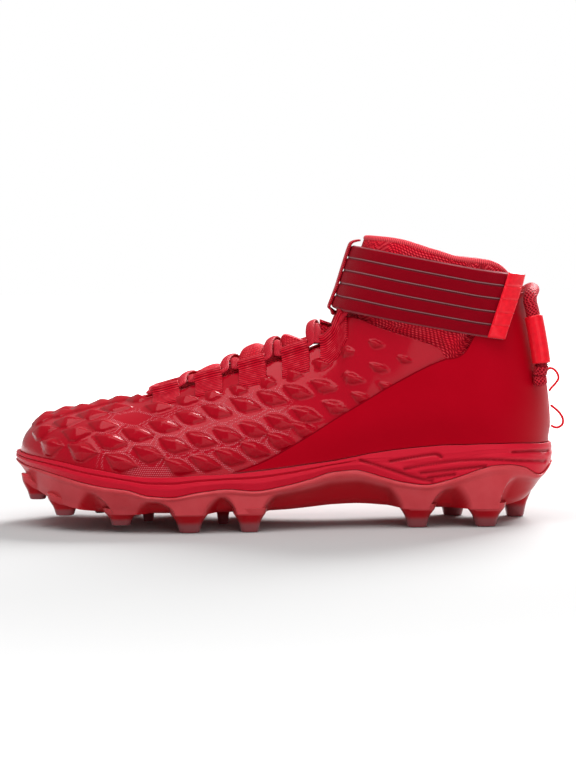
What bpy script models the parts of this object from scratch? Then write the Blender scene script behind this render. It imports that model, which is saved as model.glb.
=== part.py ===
"""American football cleat, left foot, with an ankle strap.

+X points to the toe, +Y to the outer side of the foot, +Z up. The studs stand on Z = 0 and the
origin lies below the middle of the whole shoe. All sizes are in metres.
"""

import bisect
import math

import bmesh
import bpy
import numpy as np
from mathutils import Vector

OBJECT_NAME = "american_football_cleat"

# Driving sizes
SOLE_LENGTH = 0.3015
BALL_WIDTH = 0.104
STUD_LENGTH = 0.0105
SOLE_DEPTH = 0.0355
INSTEP_RISE = 0.0995
SHAFT_RISE = 0.0495
HEEL_LOOP_REACH = 0.0062

# Walls and clearances
GAP = 0.0003
SKIN_GAP = 0.0006
QUARTER_GAP = 0.0008
LIP_WALL = 0.0024
UPPER_WALL = 0.0016
QUARTER_WALL = 0.0010
SLEEVE_WALL = 0.0022
TONGUE_WALL = 0.0030
INSOLE_THICKNESS = 0.0040
INSOLE_EASE = 0.0010
BED_DEPTH = 0.0065
MIDSOLE_LEAST = 0.0022
WEBBING_THICKNESS = 0.0016
WEBBING_WIDTH = 0.0150
WEBBING_LENGTH = 0.0120
WEBBING_REACH = 0.0025
LACE_DIAMETER = 0.0042
LACE_ARCH = 0.0014
STRAP_HEIGHT = 0.0368
STRAP_THICKNESS = 0.0024
TAB_LENGTH = 0.0085
TAB_THICKNESS = 0.0012
KEEPER_WIDTH = 0.0100
KEEPER_THICKNESS = 0.0010
RIM_DIAMETER = 0.0034
RIM_SEAT = 0.0009
PULL_LOOP_DIAMETER = 0.0076
PULL_SLEEVE_WALL = 0.0006
HEEL_CORD_DIAMETER = 0.0014

# Form sizes of the upper
SIDE_BULGE = 0.0022
BULGE_SPAN = 0.0350
ANKLE_WAIST = 0.0035
WAIST_SPAN = 0.0240
THROAT_HALF_WIDTH = 0.0160
TONGUE_MARGIN = 0.0060
SLEEVE_TUCK = 0.0090
SLEEVE_EASE = 0.0017

HEEL_X = HEEL_LOOP_REACH - (SOLE_LENGTH + HEEL_LOOP_REACH) / 2
TOE_X = HEEL_X + SOLE_LENGTH
UPPER_INSET = LIP_WALL + GAP

# Shares of the sole's length where its ends begin to round
HEEL_ROUND = 0.15
TOE_ROUND = 0.20
TOE_POWER = 0.56


class Table:
    """Rows with named columns, read by a smooth curve that never overshoots its rows."""

    def __init__(self, columns, rows):
        self.rows = sorted(rows)
        self.places = [row[0] for row in self.rows]
        self.values = {}
        self.tangents = {}
        for index, column in enumerate(columns):
            values = [row[index] for row in self.rows]
            self.values[column] = values
            self.tangents[column] = self.find_tangents(values)

    def find_tangents(self, values):
        """Slopes at the rows, level where the rows turn."""
        steps = zip(self.places[:-1], self.places[1:], values[:-1], values[1:])
        slopes = [(v1 - v0) / (x1 - x0) for x0, x1, v0, v1 in steps]
        inner = [2 * a * b / (a + b) if a * b > 0 else 0.0
                 for a, b in zip(slopes[:-1], slopes[1:])]
        return [slopes[0]] + inner + [slopes[-1]]

    def read(self, column, place):
        place = min(max(place, self.places[0]), self.places[-1])
        i = min(bisect.bisect_right(self.places, place) - 1, len(self.places) - 2)
        step = self.places[i + 1] - self.places[i]
        t = (place - self.places[i]) / step
        values, tangents = self.values[column], self.tangents[column]
        level = values[i] * (1 + 2 * t) * (1 - t) ** 2 + values[i + 1] * t * t * (3 - 2 * t)
        bend = tangents[i] * t * (1 - t) ** 2 - tangents[i + 1] * t * t * (1 - t)
        return level + step * bend


# Shares of the sole's length along it, from the heel, and of the ball's width
SOLE_PLAN = Table(("along", "half_width", "centre"), (
    (0.00, 0.346, -0.012), (0.17, 0.346, -0.012), (0.25, 0.346, -0.007), (0.33, 0.337, 0.012),
    (0.42, 0.341, 0.036), (0.50, 0.368, 0.053), (0.58, 0.413, 0.056), (0.67, 0.464, 0.039),
    (0.73, 0.490, 0.017), (0.80, 0.494, -0.012), (0.85, 0.494, -0.036), (0.90, 0.494, -0.064),
    (0.95, 0.494, -0.088), (1.00, 0.494, -0.105)))

# Shares of the sole's length, and heights over the plate as shares of the sole's depth
SOLE_HEIGHTS = Table(("along", "under", "parting", "lip"), (
    (0.00, 0.50, 0.67, 0.95), (0.03, 0.25, 0.49, 0.97), (0.06, 0.08, 0.62, 0.99),
    (0.09, 0.02, 0.67, 1.00), (0.11, 0.00, 0.67, 1.00), (0.14, 0.00, 0.62, 1.00),
    (0.17, 0.00, 0.53, 0.99), (0.20, 0.00, 0.45, 0.99), (0.24, 0.00, 0.38, 0.97),
    (0.28, 0.02, 0.42, 0.94), (0.32, 0.05, 0.51, 0.90), (0.345, 0.07, 0.58, 0.87),
    (0.37, 0.08, 0.625, 0.83), (0.41, 0.07, 0.60, 0.77), (0.45, 0.04, 0.50, 0.73),
    (0.50, 0.01, 0.40, 0.68), (0.55, 0.00, 0.34, 0.64), (0.60, 0.00, 0.38, 0.61),
    (0.65, 0.00, 0.34, 0.60), (0.70, 0.00, 0.27, 0.58), (0.74, 0.00, 0.29, 0.58),
    (0.78, 0.00, 0.38, 0.61), (0.82, 0.01, 0.42, 0.67), (0.86, 0.05, 0.48, 0.72),
    (0.90, 0.13, 0.56, 0.78), (0.94, 0.27, 0.63, 0.82), (0.97, 0.42, 0.67, 0.84),
    (1.00, 0.63, 0.73, 0.86)))

# The top line of the last: heights over the plate as shares of the instep and the shaft
RIDGE_LINE = Table(("along", "of_instep", "of_shaft", "power"), (
    (0.000, 1.000, 4.85, 2.0), (0.100, 1.000, 4.00, 2.0), (0.223, 1.000, 2.69, 2.0),
    (0.310, 1.000, 1.53, 2.0), (0.343, 1.000, 1.04, 2.0), (0.353, 1.000, 0.88, 2.0),
    (0.367, 1.000, 0.64, 2.0), (0.383, 1.000, 0.34, 2.0), (0.400, 1.000, 0.11, 1.95),
    (0.425, 1.000, 0.00, 1.90), (0.457, 0.965, 0.00, 1.85), (0.503, 0.910, 0.00, 1.80),
    (0.550, 0.852, 0.00, 1.80), (0.603, 0.786, 0.00, 1.85), (0.643, 0.739, 0.00, 1.90),
    (0.690, 0.683, 0.00, 1.95), (0.740, 0.634, 0.00, 2.00), (0.787, 0.598, 0.00, 2.05),
    (0.823, 0.574, 0.00, 2.10), (0.870, 0.546, 0.00, 2.15), (0.910, 0.518, 0.00, 2.20),
    (0.940, 0.496, 0.00, 2.20), (0.960, 0.466, 0.00, 2.20), (0.975, 0.425, 0.00, 2.20),
    (0.985, 0.377, 0.00, 2.20), (0.991, 0.307, 0.00, 2.20)))

# Sideways lean of the ridge as a share of the ball's width
RIDGE_LEAN = Table(("along", "lean"), (
    (0.00, -0.010), (0.30, -0.010), (0.45, -0.020), (0.60, -0.035), (0.75, -0.060),
    (0.90, -0.090), (1.00, -0.105)))

# The heel's back: height over the plate as a share of instep and shaft, inset of the length
HEEL_BACK = Table(("rise", "inset"), (
    (0.00, 0.0092), (0.24, 0.0130), (0.30, 0.0095), (0.36, 0.0110), (0.44, 0.0155),
    (0.53, 0.0250), (0.61, 0.0360), (0.70, 0.0490), (0.77, 0.0580), (0.83, 0.0635),
    (1.00, 0.0750), (2.50, 0.0950)))

# The shell's top edge behind the throat, heights as shares of instep and shaft
SHELL_EDGE = Table(("along", "rise"), (
    (0.000, 0.785), (0.057, 0.785), (0.087, 0.775), (0.113, 0.745), (0.133, 0.700),
    (0.147, 0.654), (0.156, 0.619), (0.167, 0.581), (0.183, 0.559), (0.203, 0.553),
    (0.212, 0.586), (0.250, 0.619), (0.293, 0.648), (0.323, 0.668), (0.377, 0.706),
    (0.430, 0.690)))

# The quarter's top edge on both sides, in front of the shell's edge
QUARTER_EDGE = Table(("along", "rise"), (
    (0.200, 0.553), (0.210, 0.548), (0.288, 0.474), (0.378, 0.368), (0.469, 0.260),
    (0.538, 0.188), (0.596, 0.148)))

# The collar's rim, height as a share of instep and shaft
COLLAR_RIM = Table(("along", "rise"), (
    (0.000, 0.830), (0.050, 0.833), (0.077, 0.848), (0.087, 0.868), (0.097, 0.888),
    (0.110, 0.905), (0.125, 0.915), (0.155, 0.922), (0.185, 0.930), (0.212, 0.948),
    (0.235, 0.962), (0.277, 0.990), (0.303, 1.000), (0.340, 1.008)))

# Studs: place along and across, tip's height as a share of the sole's depth, and size
STUDS = Table(("along", "across", "tip", "size"), (
    (0.952, 0.205, 0.440, 0.90), (0.950, -0.190, 0.430, 0.90), (0.898, 0.310, 0.230, 1.00),
    (0.890, -0.335, 0.215, 1.00), (0.793, 0.360, 0.107, 1.05), (0.780, -0.385, 0.085, 1.05),
    (0.669, 0.360, 0.000, 1.15), (0.663, -0.365, 0.000, 1.15), (0.561, 0.330, 0.000, 0.98),
    (0.556, -0.300, 0.000, 0.98), (0.843, -0.030, 0.150, 0.55), (0.752, -0.040, 0.020, 0.55),
    (0.612, 0.000, 0.000, 0.55), (0.256, 0.245, 0.000, 1.08), (0.131, 0.240, 0.000, 1.15),
    (0.179, -0.245, 0.000, 1.08), (0.063, -0.180, 0.000, 1.00)))
STUD_BASE = 0.0085
STUD_ROOT = 0.0030
STUD_SIDES = 8

# Lace stations along the throat
LACE_STATIONS = (0.713, 0.634, 0.554, 0.475, 0.405)
LACE_FRONT = 0.738
LACE_TOP = 0.434

# The strap's lower edge in front, as a share of instep and shaft, and its fall to the heel
STRAP_FRONT = 0.726
STRAP_SLOPE = 0.185
# Ends of the strap along the shoe, at its lower and its upper edge
STRAP_END = (0.104, 0.074)
STRAP_ANCHOR = (0.150, 0.115)

# Grooves on the midsole's side: height over the plate as a share of the sole's depth
SIDE_GROOVES = (
    ((0.305, 0.75), (0.229, 0.85), (0.213, 0.81)),
    ((0.280, 0.63), (0.207, 0.73), (0.129, 0.765), (0.060, 0.72), (0.018, 0.69)),
    ((0.250, 0.565), (0.188, 0.62), (0.133, 0.665)),
    ((0.237, 0.49), (0.189, 0.54)),
    ((0.360, 0.775), (0.300, 0.61), (0.262, 0.50), (0.229, 0.435)),
    ((0.082, 0.865), (0.040, 0.86), (0.012, 0.84)))
GROOVE_RADIUS = 0.0010

# Cords at the heel's back: height as a share of instep and shaft, and reach behind the heel
HEEL_CORDS = (
    ((0.490, 0.0012), (0.500, 0.0030), (0.501, 0.0052), (0.485, 0.0072), (0.463, 0.0074),
     (0.443, 0.0050), (0.428, 0.0026), (0.417, 0.0012)),
    ((0.362, 0.0012), (0.350, 0.0034), (0.333, 0.0058), (0.312, 0.0074), (0.291, 0.0073),
     (0.279, 0.0052), (0.280, 0.0028), (0.286, 0.0012)))
# Half of the pull loop: angle from the heel's middle in radians, height as above, stand-off
PULL_LOOP = ((0.40, 0.450, -0.0004), (0.40, 0.480, -0.0004), (0.41, 0.520, 0.0020),
             (0.42, 0.620, 0.0024), (0.42, 0.710, 0.0020), (0.40, 0.745, 0.0014),
             (0.32, 0.772, 0.0010), (0.16, 0.786, 0.0010), (0.00, 0.789, 0.0010))
PULL_SLEEVE = (0.525, 0.705)

# The keeper in front of the strap: height share and stand-off from the last
KEEPER = ((0.699, 0.0018), (0.710, 0.0042), (0.722, 0.0062), (0.800, 0.0062), (0.880, 0.0062),
          (0.946, 0.0064), (0.966, 0.0058), (0.978, 0.0036), (0.984, 0.0018))


def along(x):
    """Share of the sole's length at x, from the heel."""
    return (x - HEEL_X) / SOLE_LENGTH


def at(share):
    """x of a share of the sole's length."""
    return HEEL_X + share * SOLE_LENGTH


def rise(share):
    """Height of a share of the instep and shaft together."""
    return STUD_LENGTH + share * (INSTEP_RISE + SHAFT_RISE)


def sole_height(column, x):
    return STUD_LENGTH + SOLE_HEIGHTS.read(column, along(x)) * SOLE_DEPTH


def bed_height(x):
    """The foot bed, sunk below the lip but over the least midsole."""
    least = sole_height("parting", x) + MIDSOLE_LEAST
    return max(least, sole_height("lip", x) - BED_DEPTH)


def centre_line(x):
    return SOLE_PLAN.read("centre", along(x)) * BALL_WIDTH


def plan_half_width(x, inset, round_heel=True):
    """Half width of the sole's outline, drawn in by an inset."""
    half = SOLE_PLAN.read("half_width", along(x)) * BALL_WIDTH - inset
    heel_start = at(HEEL_ROUND)
    toe_start = at(1 - TOE_ROUND)
    if x > toe_start:
        t = min((x - toe_start) / (TOE_ROUND * SOLE_LENGTH - inset), 1.0)
        half *= (1 - t * t) ** TOE_POWER
    if round_heel and x < heel_start:
        t = min((heel_start - x) / (HEEL_ROUND * SOLE_LENGTH - inset), 1.0)
        half *= math.sqrt(1 - t * t)
    return half


def ridge_height(x):
    share = along(x)
    instep = RIDGE_LINE.read("of_instep", share) * INSTEP_RISE
    shaft = RIDGE_LINE.read("of_shaft", share) * SHAFT_RISE
    return STUD_LENGTH + instep + shaft


def heel_back(z):
    """x of the heel's back at a height."""
    share = (z - STUD_LENGTH) / (INSTEP_RISE + SHAFT_RISE)
    return HEEL_X + HEEL_BACK.read("inset", share) * SOLE_LENGTH


def half_width(x, z):
    """Half width of the last at a place along the shoe and a height."""
    base = plan_half_width(x, UPPER_INSET, round_heel=False)
    lip = sole_height("lip", x)
    top = ridge_height(x)
    power = RIDGE_LINE.read("power", along(x))
    h = min(max((z - lip) / max(top - lip, 1e-6), 0.0), 1.0)
    half = base * (1 - h ** power) ** (1 / power)
    k = min(max((z - lip) / BULGE_SPAN, 0.0), 1.0)
    fullness = base / (BALL_WIDTH / 2)
    half += SIDE_BULGE * math.sin(math.pi * k) ** 2 * fullness * (1 - h)
    back = min(max((0.47 - along(x)) / 0.15, 0.0), 1.0)
    waist = math.exp(-((z - rise(0.66)) / WAIST_SPAN) ** 2)
    half -= ANKLE_WAIST * waist * back * back * (3 - 2 * back) * (1 - h)
    heel_start = at(HEEL_ROUND)
    if x < heel_start:
        t = min((heel_start - x) / (heel_start - heel_back(z)), 1.0)
        half *= math.sqrt(max(1 - t * t, 0.0))
    return max(half, 0.0)


def centre_at(x, z):
    """The middle of the last at a height, which leans inward toward the ridge."""
    lip = sole_height("lip", x)
    h = min(max((z - lip) / (ridge_height(x) - lip + 1e-6), 0.0), 1.0)
    lean = RIDGE_LEAN.read("lean", along(x)) * BALL_WIDTH
    return centre_line(x) * (1 - h) + lean * h


def heel_shifted(x, z):
    """Follow the heel's back with height, behind the heel's centre."""
    heel_start = at(HEEL_ROUND)
    if x >= heel_start:
        return x
    t = (heel_start - x) / (heel_start - HEEL_X - UPPER_INSET)
    return heel_start - t * (heel_start - heel_back(z))


def arch_point(x, turn):
    """A point of the last: turn runs from 0 at the outer lip over 0.5 at the ridge to 1."""
    lip = sole_height("lip", x)
    z = lip + (ridge_height(x) - lip) * math.sin(math.pi * turn)
    side = 1.0 if turn < 0.5 else -1.0
    px = heel_shifted(x, z)
    return Vector((px, centre_at(px, z) + side * half_width(px, z), z))


def edge_turn(x, z):
    """The turn at which the arch at x reaches a height."""
    lip = sole_height("lip", x)
    share = min(max((z - lip) / (ridge_height(x) - lip), 0.0), 1.0)
    return math.asin(share) / math.pi


RIDGE_SAMPLES = [(ridge_height(at(s)), at(s)) for s in np.linspace(0.990, 0.0, 400)]
RIDGE_Z = [sample[0] for sample in RIDGE_SAMPLES]
RIDGE_X = [sample[1] for sample in RIDGE_SAMPLES]


def front_at(z):
    """x of the ridge line at a height."""
    return float(np.interp(z, RIDGE_Z, RIDGE_X))


RING_STEPS = 16
# Small steps that find the slope of the last
STEP_ALONG = 0.0008
STEP_ROUND = 0.004
STEP_ANGLE = 0.02
STEP_UP = 0.001


def ring_point(angle, line):
    """A point of a ring round the ankle: angle 0 in front, positive on the outer side.

    line gives the ring's height at an x.
    """
    z = line(at(0.2))
    for _ in range(RING_STEPS):
        front, back = front_at(z), heel_back(z)
        x = (front + back) / 2 + (front - back) / 2 * math.cos(angle)
        z += (line(x) - z) / 2
    side = math.copysign(1.0, math.sin(angle)) if abs(math.sin(angle)) > 1e-9 else 0.0
    return Vector((x, centre_at(x, z) + side * half_width(x, z), z))


def ring_offset(angle, line, out):
    """A ring's point moved out along the surface's normal."""
    def raised(x):
        return line(x) + STEP_UP

    def lowered(x):
        return line(x) - STEP_UP
    across = ring_point(angle + STEP_ANGLE, line) - ring_point(angle - STEP_ANGLE, line)
    up = ring_point(angle, raised) - ring_point(angle, lowered)
    normal = across.cross(up).normalized()
    return ring_point(angle, line) + normal * out


def arch_offset(x, turn, out):
    """A point of the last moved out along the surface's normal."""
    x0 = max(x - STEP_ALONG, HEEL_X + UPPER_INSET)
    x1 = min(x + STEP_ALONG, TOE_X - UPPER_INSET)
    along_x = arch_point(x1, turn) - arch_point(x0, turn)
    low, high = max(turn - STEP_ROUND, 0.0), min(turn + STEP_ROUND, 1.0)
    around = arch_point(x, high) - arch_point(x, low)
    normal = along_x.cross(around)
    point = arch_point(x, turn)
    if normal.length < 1e-12:
        return point + Vector((math.copysign(out, x), 0.0, 0.0))
    return point - normal.normalized() * out


def make_collection(name):
    collection = bpy.data.collections.new(name)
    bpy.context.scene.collection.children.link(collection)
    return collection


def make_material(name, colour, roughness, metallic=0.0):
    material = bpy.data.materials.new(name)
    material.use_nodes = True
    shader = material.node_tree.nodes["Principled BSDF"]
    shader.inputs["Base Color"].default_value = (*colour, 1.0)
    shader.inputs["Roughness"].default_value = roughness
    shader.inputs["Metallic"].default_value = metallic
    return material


def add_object(name, mesh, collection, material):
    item = bpy.data.objects.new(name, mesh)
    collection.objects.link(item)
    if material is not None:
        mesh.materials.append(material)
    return item


def grid_mesh(name, columns, closed=False):
    """A sheet of quads through columns of points, welded where columns meet."""
    bm = bmesh.new()
    rows = [[bm.verts.new(point) for point in column] for column in columns]
    count = len(rows) if closed else len(rows) - 1
    for i in range(count):
        a, b = rows[i], rows[(i + 1) % len(rows)]
        for j in range(len(a) - 1):
            bm.faces.new((a[j], b[j], b[j + 1], a[j + 1]))
    bmesh.ops.remove_doubles(bm, verts=bm.verts, dist=2e-5)
    bmesh.ops.dissolve_degenerate(bm, dist=1e-6, edges=bm.edges)
    mesh = bpy.data.meshes.new(name)
    bm.to_mesh(mesh)
    bm.free()
    mesh.shade_smooth()
    return mesh


def thicken(item, thickness, inward=True):
    solidify = item.modifiers.new("Wall", "SOLIDIFY")
    solidify.thickness = thickness
    solidify.offset = -1.0 if inward else 1.0
    solidify.use_even_offset = True
    return solidify


def spaced(start, end, count, ease="both"):
    """Stations from start to end, closer together at the eased ends."""
    values = []
    for i in range(count):
        t = i / (count - 1)
        if ease == "both":
            t = (1 - math.cos(math.pi * t)) / 2
        elif ease == "start":
            t = 1 - math.cos(math.pi * t / 2)
        elif ease == "end":
            t = math.sin(math.pi * t / 2)
        values.append(start + (end - start) * t)
    return values


def outline(share, inset):
    """x, middle and half width of the sole's outline at a station, drawn in by an inset."""
    x = HEEL_X + inset + share * (SOLE_LENGTH - 2 * inset)
    return x, centre_line(x), max(plan_half_width(x, inset), 0.0)


SOLE_STATIONS = (spaced(1.0, 0.86, 9, "start") + spaced(0.86, 0.13, 24, "none")[1:]
                 + spaced(0.13, 0.0, 8, "end")[1:])

# The groove under the lip runs from the toe to where the heel's ribs begin
LIP_GROOVE = 0.0013
LIP_GROOVE_HEIGHT = 0.68
LIP_GROOVE_END = 0.365
LIP_FOLD = 0.0004
# Side of the midsole: share of the height from the parting to the lip, and inset
MIDSOLE_SIDE = ((0.00, 0.0008), (0.40, 0.0000), (0.60, 0.0004),
                (LIP_GROOVE_HEIGHT, LIP_GROOVE), (0.76, 0.0002), (1.00, 0.0007))
# Side of the plate: share of the height from the underside to the parting, and inset
PLATE_SIDE = ((0.00, 0.0110), (0.22, 0.0055), (0.55, 0.0018), (1.00, 0.0008))


def both_sides(share, profile):
    """A closed section through both sides of the sole, from a profile of heights and insets."""
    sides = []
    for side in (1.0, -1.0):
        points = []
        for height, inset in profile:
            x, middle, half = outline(share, inset)
            if inset == LIP_GROOVE:
                x, middle, half = outline(share, LIP_GROOVE if along(x) > LIP_GROOVE_END else LIP_FOLD)
            points.append(Vector((x, middle + side * half, height(x))))
        sides.append(points)
    return sides[0] + list(reversed(sides[1]))


def section_solid(name, profile):
    """A closed solid through the sole's stations; its sections fold shut at both ends."""
    columns = []
    for share in SOLE_STATIONS:
        loop = both_sides(share, profile)
        columns.append(loop + [loop[0]])
    mesh = grid_mesh(name, columns)
    bm = bmesh.new()
    bm.from_mesh(mesh)
    bmesh.ops.recalc_face_normals(bm, faces=bm.faces)
    bm.to_mesh(mesh)
    bm.free()
    mesh.set_sharp_from_angle(angle=math.radians(35))
    return mesh


def between(low, high, share):
    """A height function part of the way from one to another."""
    return lambda x: low(x) + share * (high(x) - low(x))


def midsole_profile():
    def low(x):
        return sole_height("parting", x) + GAP

    def lip(x):
        return sole_height("lip", x)
    profile = [(between(low, lip, share), inset) for share, inset in MIDSOLE_SIDE]
    profile.append((lip, LIP_WALL))
    profile.append((bed_height, LIP_WALL))
    return profile


def plate_profile():
    def under(x):
        return sole_height("under", x)

    def top(x):
        return sole_height("parting", x)
    return [(between(under, top, share), inset) for share, inset in PLATE_SIDE]


def boolean(item, tool, operation):
    modifier = item.modifiers.new(operation.title(), "BOOLEAN")
    modifier.operation = operation
    modifier.object = tool
    modifier.solver = "EXACT"
    return modifier


def hide_cutter(item):
    item.hide_render = True
    item.display_type = "WIRE"


def stud_mesh(name, x, y, tip_z, size):
    """A stud with a flared foot: rings from inside the plate down to its flat tip."""
    base_z = sole_height("under", x) + STUD_ROOT
    drop = base_z - tip_z
    rings = ((0.00, 1.28, 1.00), (0.30, 1.12, 0.92), (0.58, 0.76, 0.72), (1.00, 0.58, 0.54))
    bm = bmesh.new()
    rows = []
    for down, wide, deep in rings:
        row = []
        for k in range(STUD_SIDES):
            turn = 2 * math.pi * (k + 0.5) / STUD_SIDES
            px = x + STUD_BASE * size * wide * math.cos(turn)
            py = y + STUD_BASE * size * deep * math.sin(turn)
            row.append(bm.verts.new((px, py, base_z - drop * down)))
        rows.append(row)
    for a, b in zip(rows[:-1], rows[1:]):
        for j in range(len(a)):
            k = (j + 1) % len(a)
            bm.faces.new((a[j], b[j], b[k], a[k]))
    bm.faces.new(rows[0])
    bm.faces.new(list(reversed(rows[-1])))
    bmesh.ops.recalc_face_normals(bm, faces=bm.faces)
    mesh = bpy.data.meshes.new(name)
    bm.to_mesh(mesh)
    bm.free()
    return mesh


def build_stud_plate(parts, cutters, material):
    plate = add_object("stud_plate", section_solid("stud_plate", plate_profile()), parts, material)
    for number, (share, across, tip, size) in enumerate(STUDS.rows):
        x = at(share)
        y = centre_line(x) + across * BALL_WIDTH
        stud = stud_mesh("stud_%d" % number, x, y, tip * SOLE_DEPTH, size)
        tool = add_object("stud_%d" % number, stud, cutters, None)
        hide_cutter(tool)
        boolean(plate, tool, "UNION")
    return plate


def poly_curve(name, points, diameter, cyclic=False, rounding=1):
    """A round cord through points."""
    curve = bpy.data.curves.new(name, "CURVE")
    curve.dimensions = "3D"
    curve.bevel_depth = diameter / 2
    curve.bevel_resolution = rounding
    curve.use_fill_caps = True
    spline = curve.splines.new("POLY")
    spline.points.add(len(points) - 1)
    for slot, point in zip(spline.points, points):
        slot.co = (*point, 1.0)
    spline.use_cyclic_u = cyclic
    return curve


def curve_to_mesh(name, curve, collection):
    """The closed mesh of a cord, as an object."""
    holder = add_object(name, curve, collection, None)
    bpy.context.view_layer.update()
    depsgraph = bpy.context.evaluated_depsgraph_get()
    mesh = bpy.data.meshes.new_from_object(holder.evaluated_get(depsgraph))
    bpy.data.objects.remove(holder)
    bm = bmesh.new()
    bm.from_mesh(mesh)
    bmesh.ops.remove_doubles(bm, verts=bm.verts, dist=1e-6)
    bmesh.ops.recalc_face_normals(bm, faces=bm.faces)
    bm.to_mesh(mesh)
    bm.free()
    mesh.name = name
    return add_object(name, mesh, collection, None)


def smooth_path(points, steps):
    """Points on a Catmull-Rom curve through hand-set points."""
    ends = [points[0]] + list(points) + [points[-1]]
    path = []
    for i in range(1, len(ends) - 2):
        a, b, c, d = ends[i - 1], ends[i], ends[i + 1], ends[i + 2]
        for k in range(steps):
            t = k / steps
            path.append(0.5 * (2 * b + (c - a) * t + (2 * a - 5 * b + 4 * c - d) * t * t
                               + (3 * b - a - 3 * c + d) * t ** 3))
    path.append(points[-1])
    return path


def groove_path(rows, side):
    """A groove's course on the sole's outline."""
    points = []
    for share, height in rows:
        x = at(share)
        y = centre_line(x) + side * plan_half_width(x, 0.0)
        points.append(Vector((x, y, STUD_LENGTH + height * SOLE_DEPTH)))
    path = smooth_path(points, 2)
    for point in path:
        point.y = centre_line(point.x) + side * plan_half_width(point.x, 0.0)
    return path


def build_midsole(parts, cutters, material):
    midsole = add_object("midsole", section_solid("midsole", midsole_profile()), parts, material)
    for number, rows in enumerate(SIDE_GROOVES):
        for side in (1, -1):
            name = "groove_%d_%s" % (number, "outer" if side > 0 else "inner")
            curve = poly_curve(name, groove_path(rows, side), 2 * GROOVE_RADIUS)
            tool = curve_to_mesh(name, curve, cutters)
            hide_cutter(tool)
            boolean(midsole, tool, "DIFFERENCE")
    return midsole


def build_insole(parts, material):
    def low(x):
        return bed_height(x) + GAP

    def high(x):
        return bed_height(x) + GAP + INSOLE_THICKNESS
    inset = UPPER_INSET + UPPER_WALL + GAP
    profile = [(low, inset + INSOLE_EASE), (high, inset + 2 * INSOLE_EASE)]
    return add_object("insole", section_solid("insole", profile), parts, material)


THROAT_FRONT = 0.775
THROAT_NOSE = 0.06
SHELL_ROWS = 7


def throat_turn(x):
    """The turn at which the arch at x is as wide as the throat."""
    nose = min((THROAT_FRONT - along(x)) / THROAT_NOSE, 1.0)
    opening = THROAT_HALF_WIDTH * math.sqrt(1 - (1 - nose) ** 2)
    low, high = 0.0, 0.5
    for _ in range(24):
        turn = (low + high) / 2
        if half_width(x, arch_point(x, turn).z) > opening:
            low = turn
        else:
            high = turn
    return high


def shell_edge_turn(x):
    """Where the shell's side ends: at the ridge, at the throat, or at the ankle's edge."""
    share = along(x)
    if share >= THROAT_FRONT:
        return 0.5
    return min(edge_turn(x, rise(SHELL_EDGE.read("rise", share))), throat_turn(x))


def upper_stations():
    toe = spaced(TOE_X - UPPER_INSET, at(0.86), 9, "start")
    vamp = spaced(at(0.86), at(THROAT_FRONT), 4, "none")
    nose = spaced(at(THROAT_FRONT), at(THROAT_FRONT - THROAT_NOSE), 5, "start")
    throat = spaced(at(THROAT_FRONT - THROAT_NOSE), at(0.44), 9, "none")
    bend = spaced(at(0.44), at(0.36), 7, "none")
    ankle = spaced(at(0.36), at(0.212), 6, "none")
    back = spaced(at(0.203), at(HEEL_ROUND), 4, "none")
    heel = spaced(at(HEEL_ROUND), HEEL_X + UPPER_INSET, 9, "end")
    return toe + vamp[1:] + nose[1:] + throat[1:] + bend[1:] + ankle[1:] + back + heel[1:]


def build_upper(parts, material):
    """One hollow shell: a side at a time, welded at the toe, the ridge and the heel."""
    sides = []
    for side in (1, -1):
        columns = []
        for x in upper_stations():
            edge = shell_edge_turn(x)
            foot = arch_point(x, 0.0 if side > 0 else 1.0)
            foot.z = bed_height(x) + GAP
            column = [foot]
            for j in range(SHELL_ROWS + 1):
                turn = edge * j / SHELL_ROWS
                column.append(arch_point(x, turn if side > 0 else 1.0 - turn))
            columns.append(column)
        sides.append(columns if side > 0 else list(reversed(columns)))
    bm = bmesh.new()
    for columns in sides:
        rows = [[bm.verts.new(point) for point in column] for column in columns]
        for a, b in zip(rows[:-1], rows[1:]):
            for j in range(len(a) - 1):
                bm.faces.new((a[j], b[j], b[j + 1], a[j + 1]))
    bmesh.ops.remove_doubles(bm, verts=bm.verts, dist=2e-5)
    bmesh.ops.dissolve_degenerate(bm, dist=1e-6, edges=bm.edges)
    mesh = bpy.data.meshes.new("upper")
    bm.to_mesh(mesh)
    bm.free()
    mesh.shade_smooth()
    upper = add_object("upper", mesh, parts, material)
    thicken(upper, UPPER_WALL)
    return upper


def quarter_edge(x):
    share = along(x)
    if share < 0.205:
        return rise(SHELL_EDGE.read("rise", share))
    return rise(QUARTER_EDGE.read("rise", share))


QUARTER_ROWS = 5
QUARTER_TIP = 0.590


def build_quarter(parts, material):
    """The smooth panel that wraps the heel over the shell, from the outer to the inner side."""
    front = spaced(at(QUARTER_TIP), at(0.212), 12, "none")
    rear = spaced(at(0.203), at(HEEL_ROUND), 4, "none")
    heel = spaced(at(HEEL_ROUND), HEEL_X + UPPER_INSET, 9, "end")
    stations = front + rear + heel[1:]
    sides = []
    for side in (1, -1):
        columns = []
        for x in stations:
            foot = edge_turn(x, sole_height("lip", x) + 2 * GAP)
            edge = edge_turn(x, quarter_edge(x))
            column = []
            for j in range(QUARTER_ROWS + 1):
                turn = foot + (edge - foot) * j / QUARTER_ROWS
                column.append(arch_offset(x, turn if side > 0 else 1.0 - turn, QUARTER_GAP))
            columns.append(column)
        sides.append(columns)
    back = [(a + b) / 2 for a, b in zip(sides[0][-1], sides[1][-1])]
    columns = sides[0][:-1] + [back] + list(reversed(sides[1][:-1]))
    quarter = add_object("heel_quarter", grid_mesh("heel_quarter", columns), parts, material)
    thicken(quarter, QUARTER_WALL, inward=False)
    return quarter


RING_POINTS = 40


def rim_line(x):
    """The sleeve's top edge, below the binding."""
    return rise(COLLAR_RIM.read("rise", along(x))) - RIM_SEAT - RIM_DIAMETER


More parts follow.
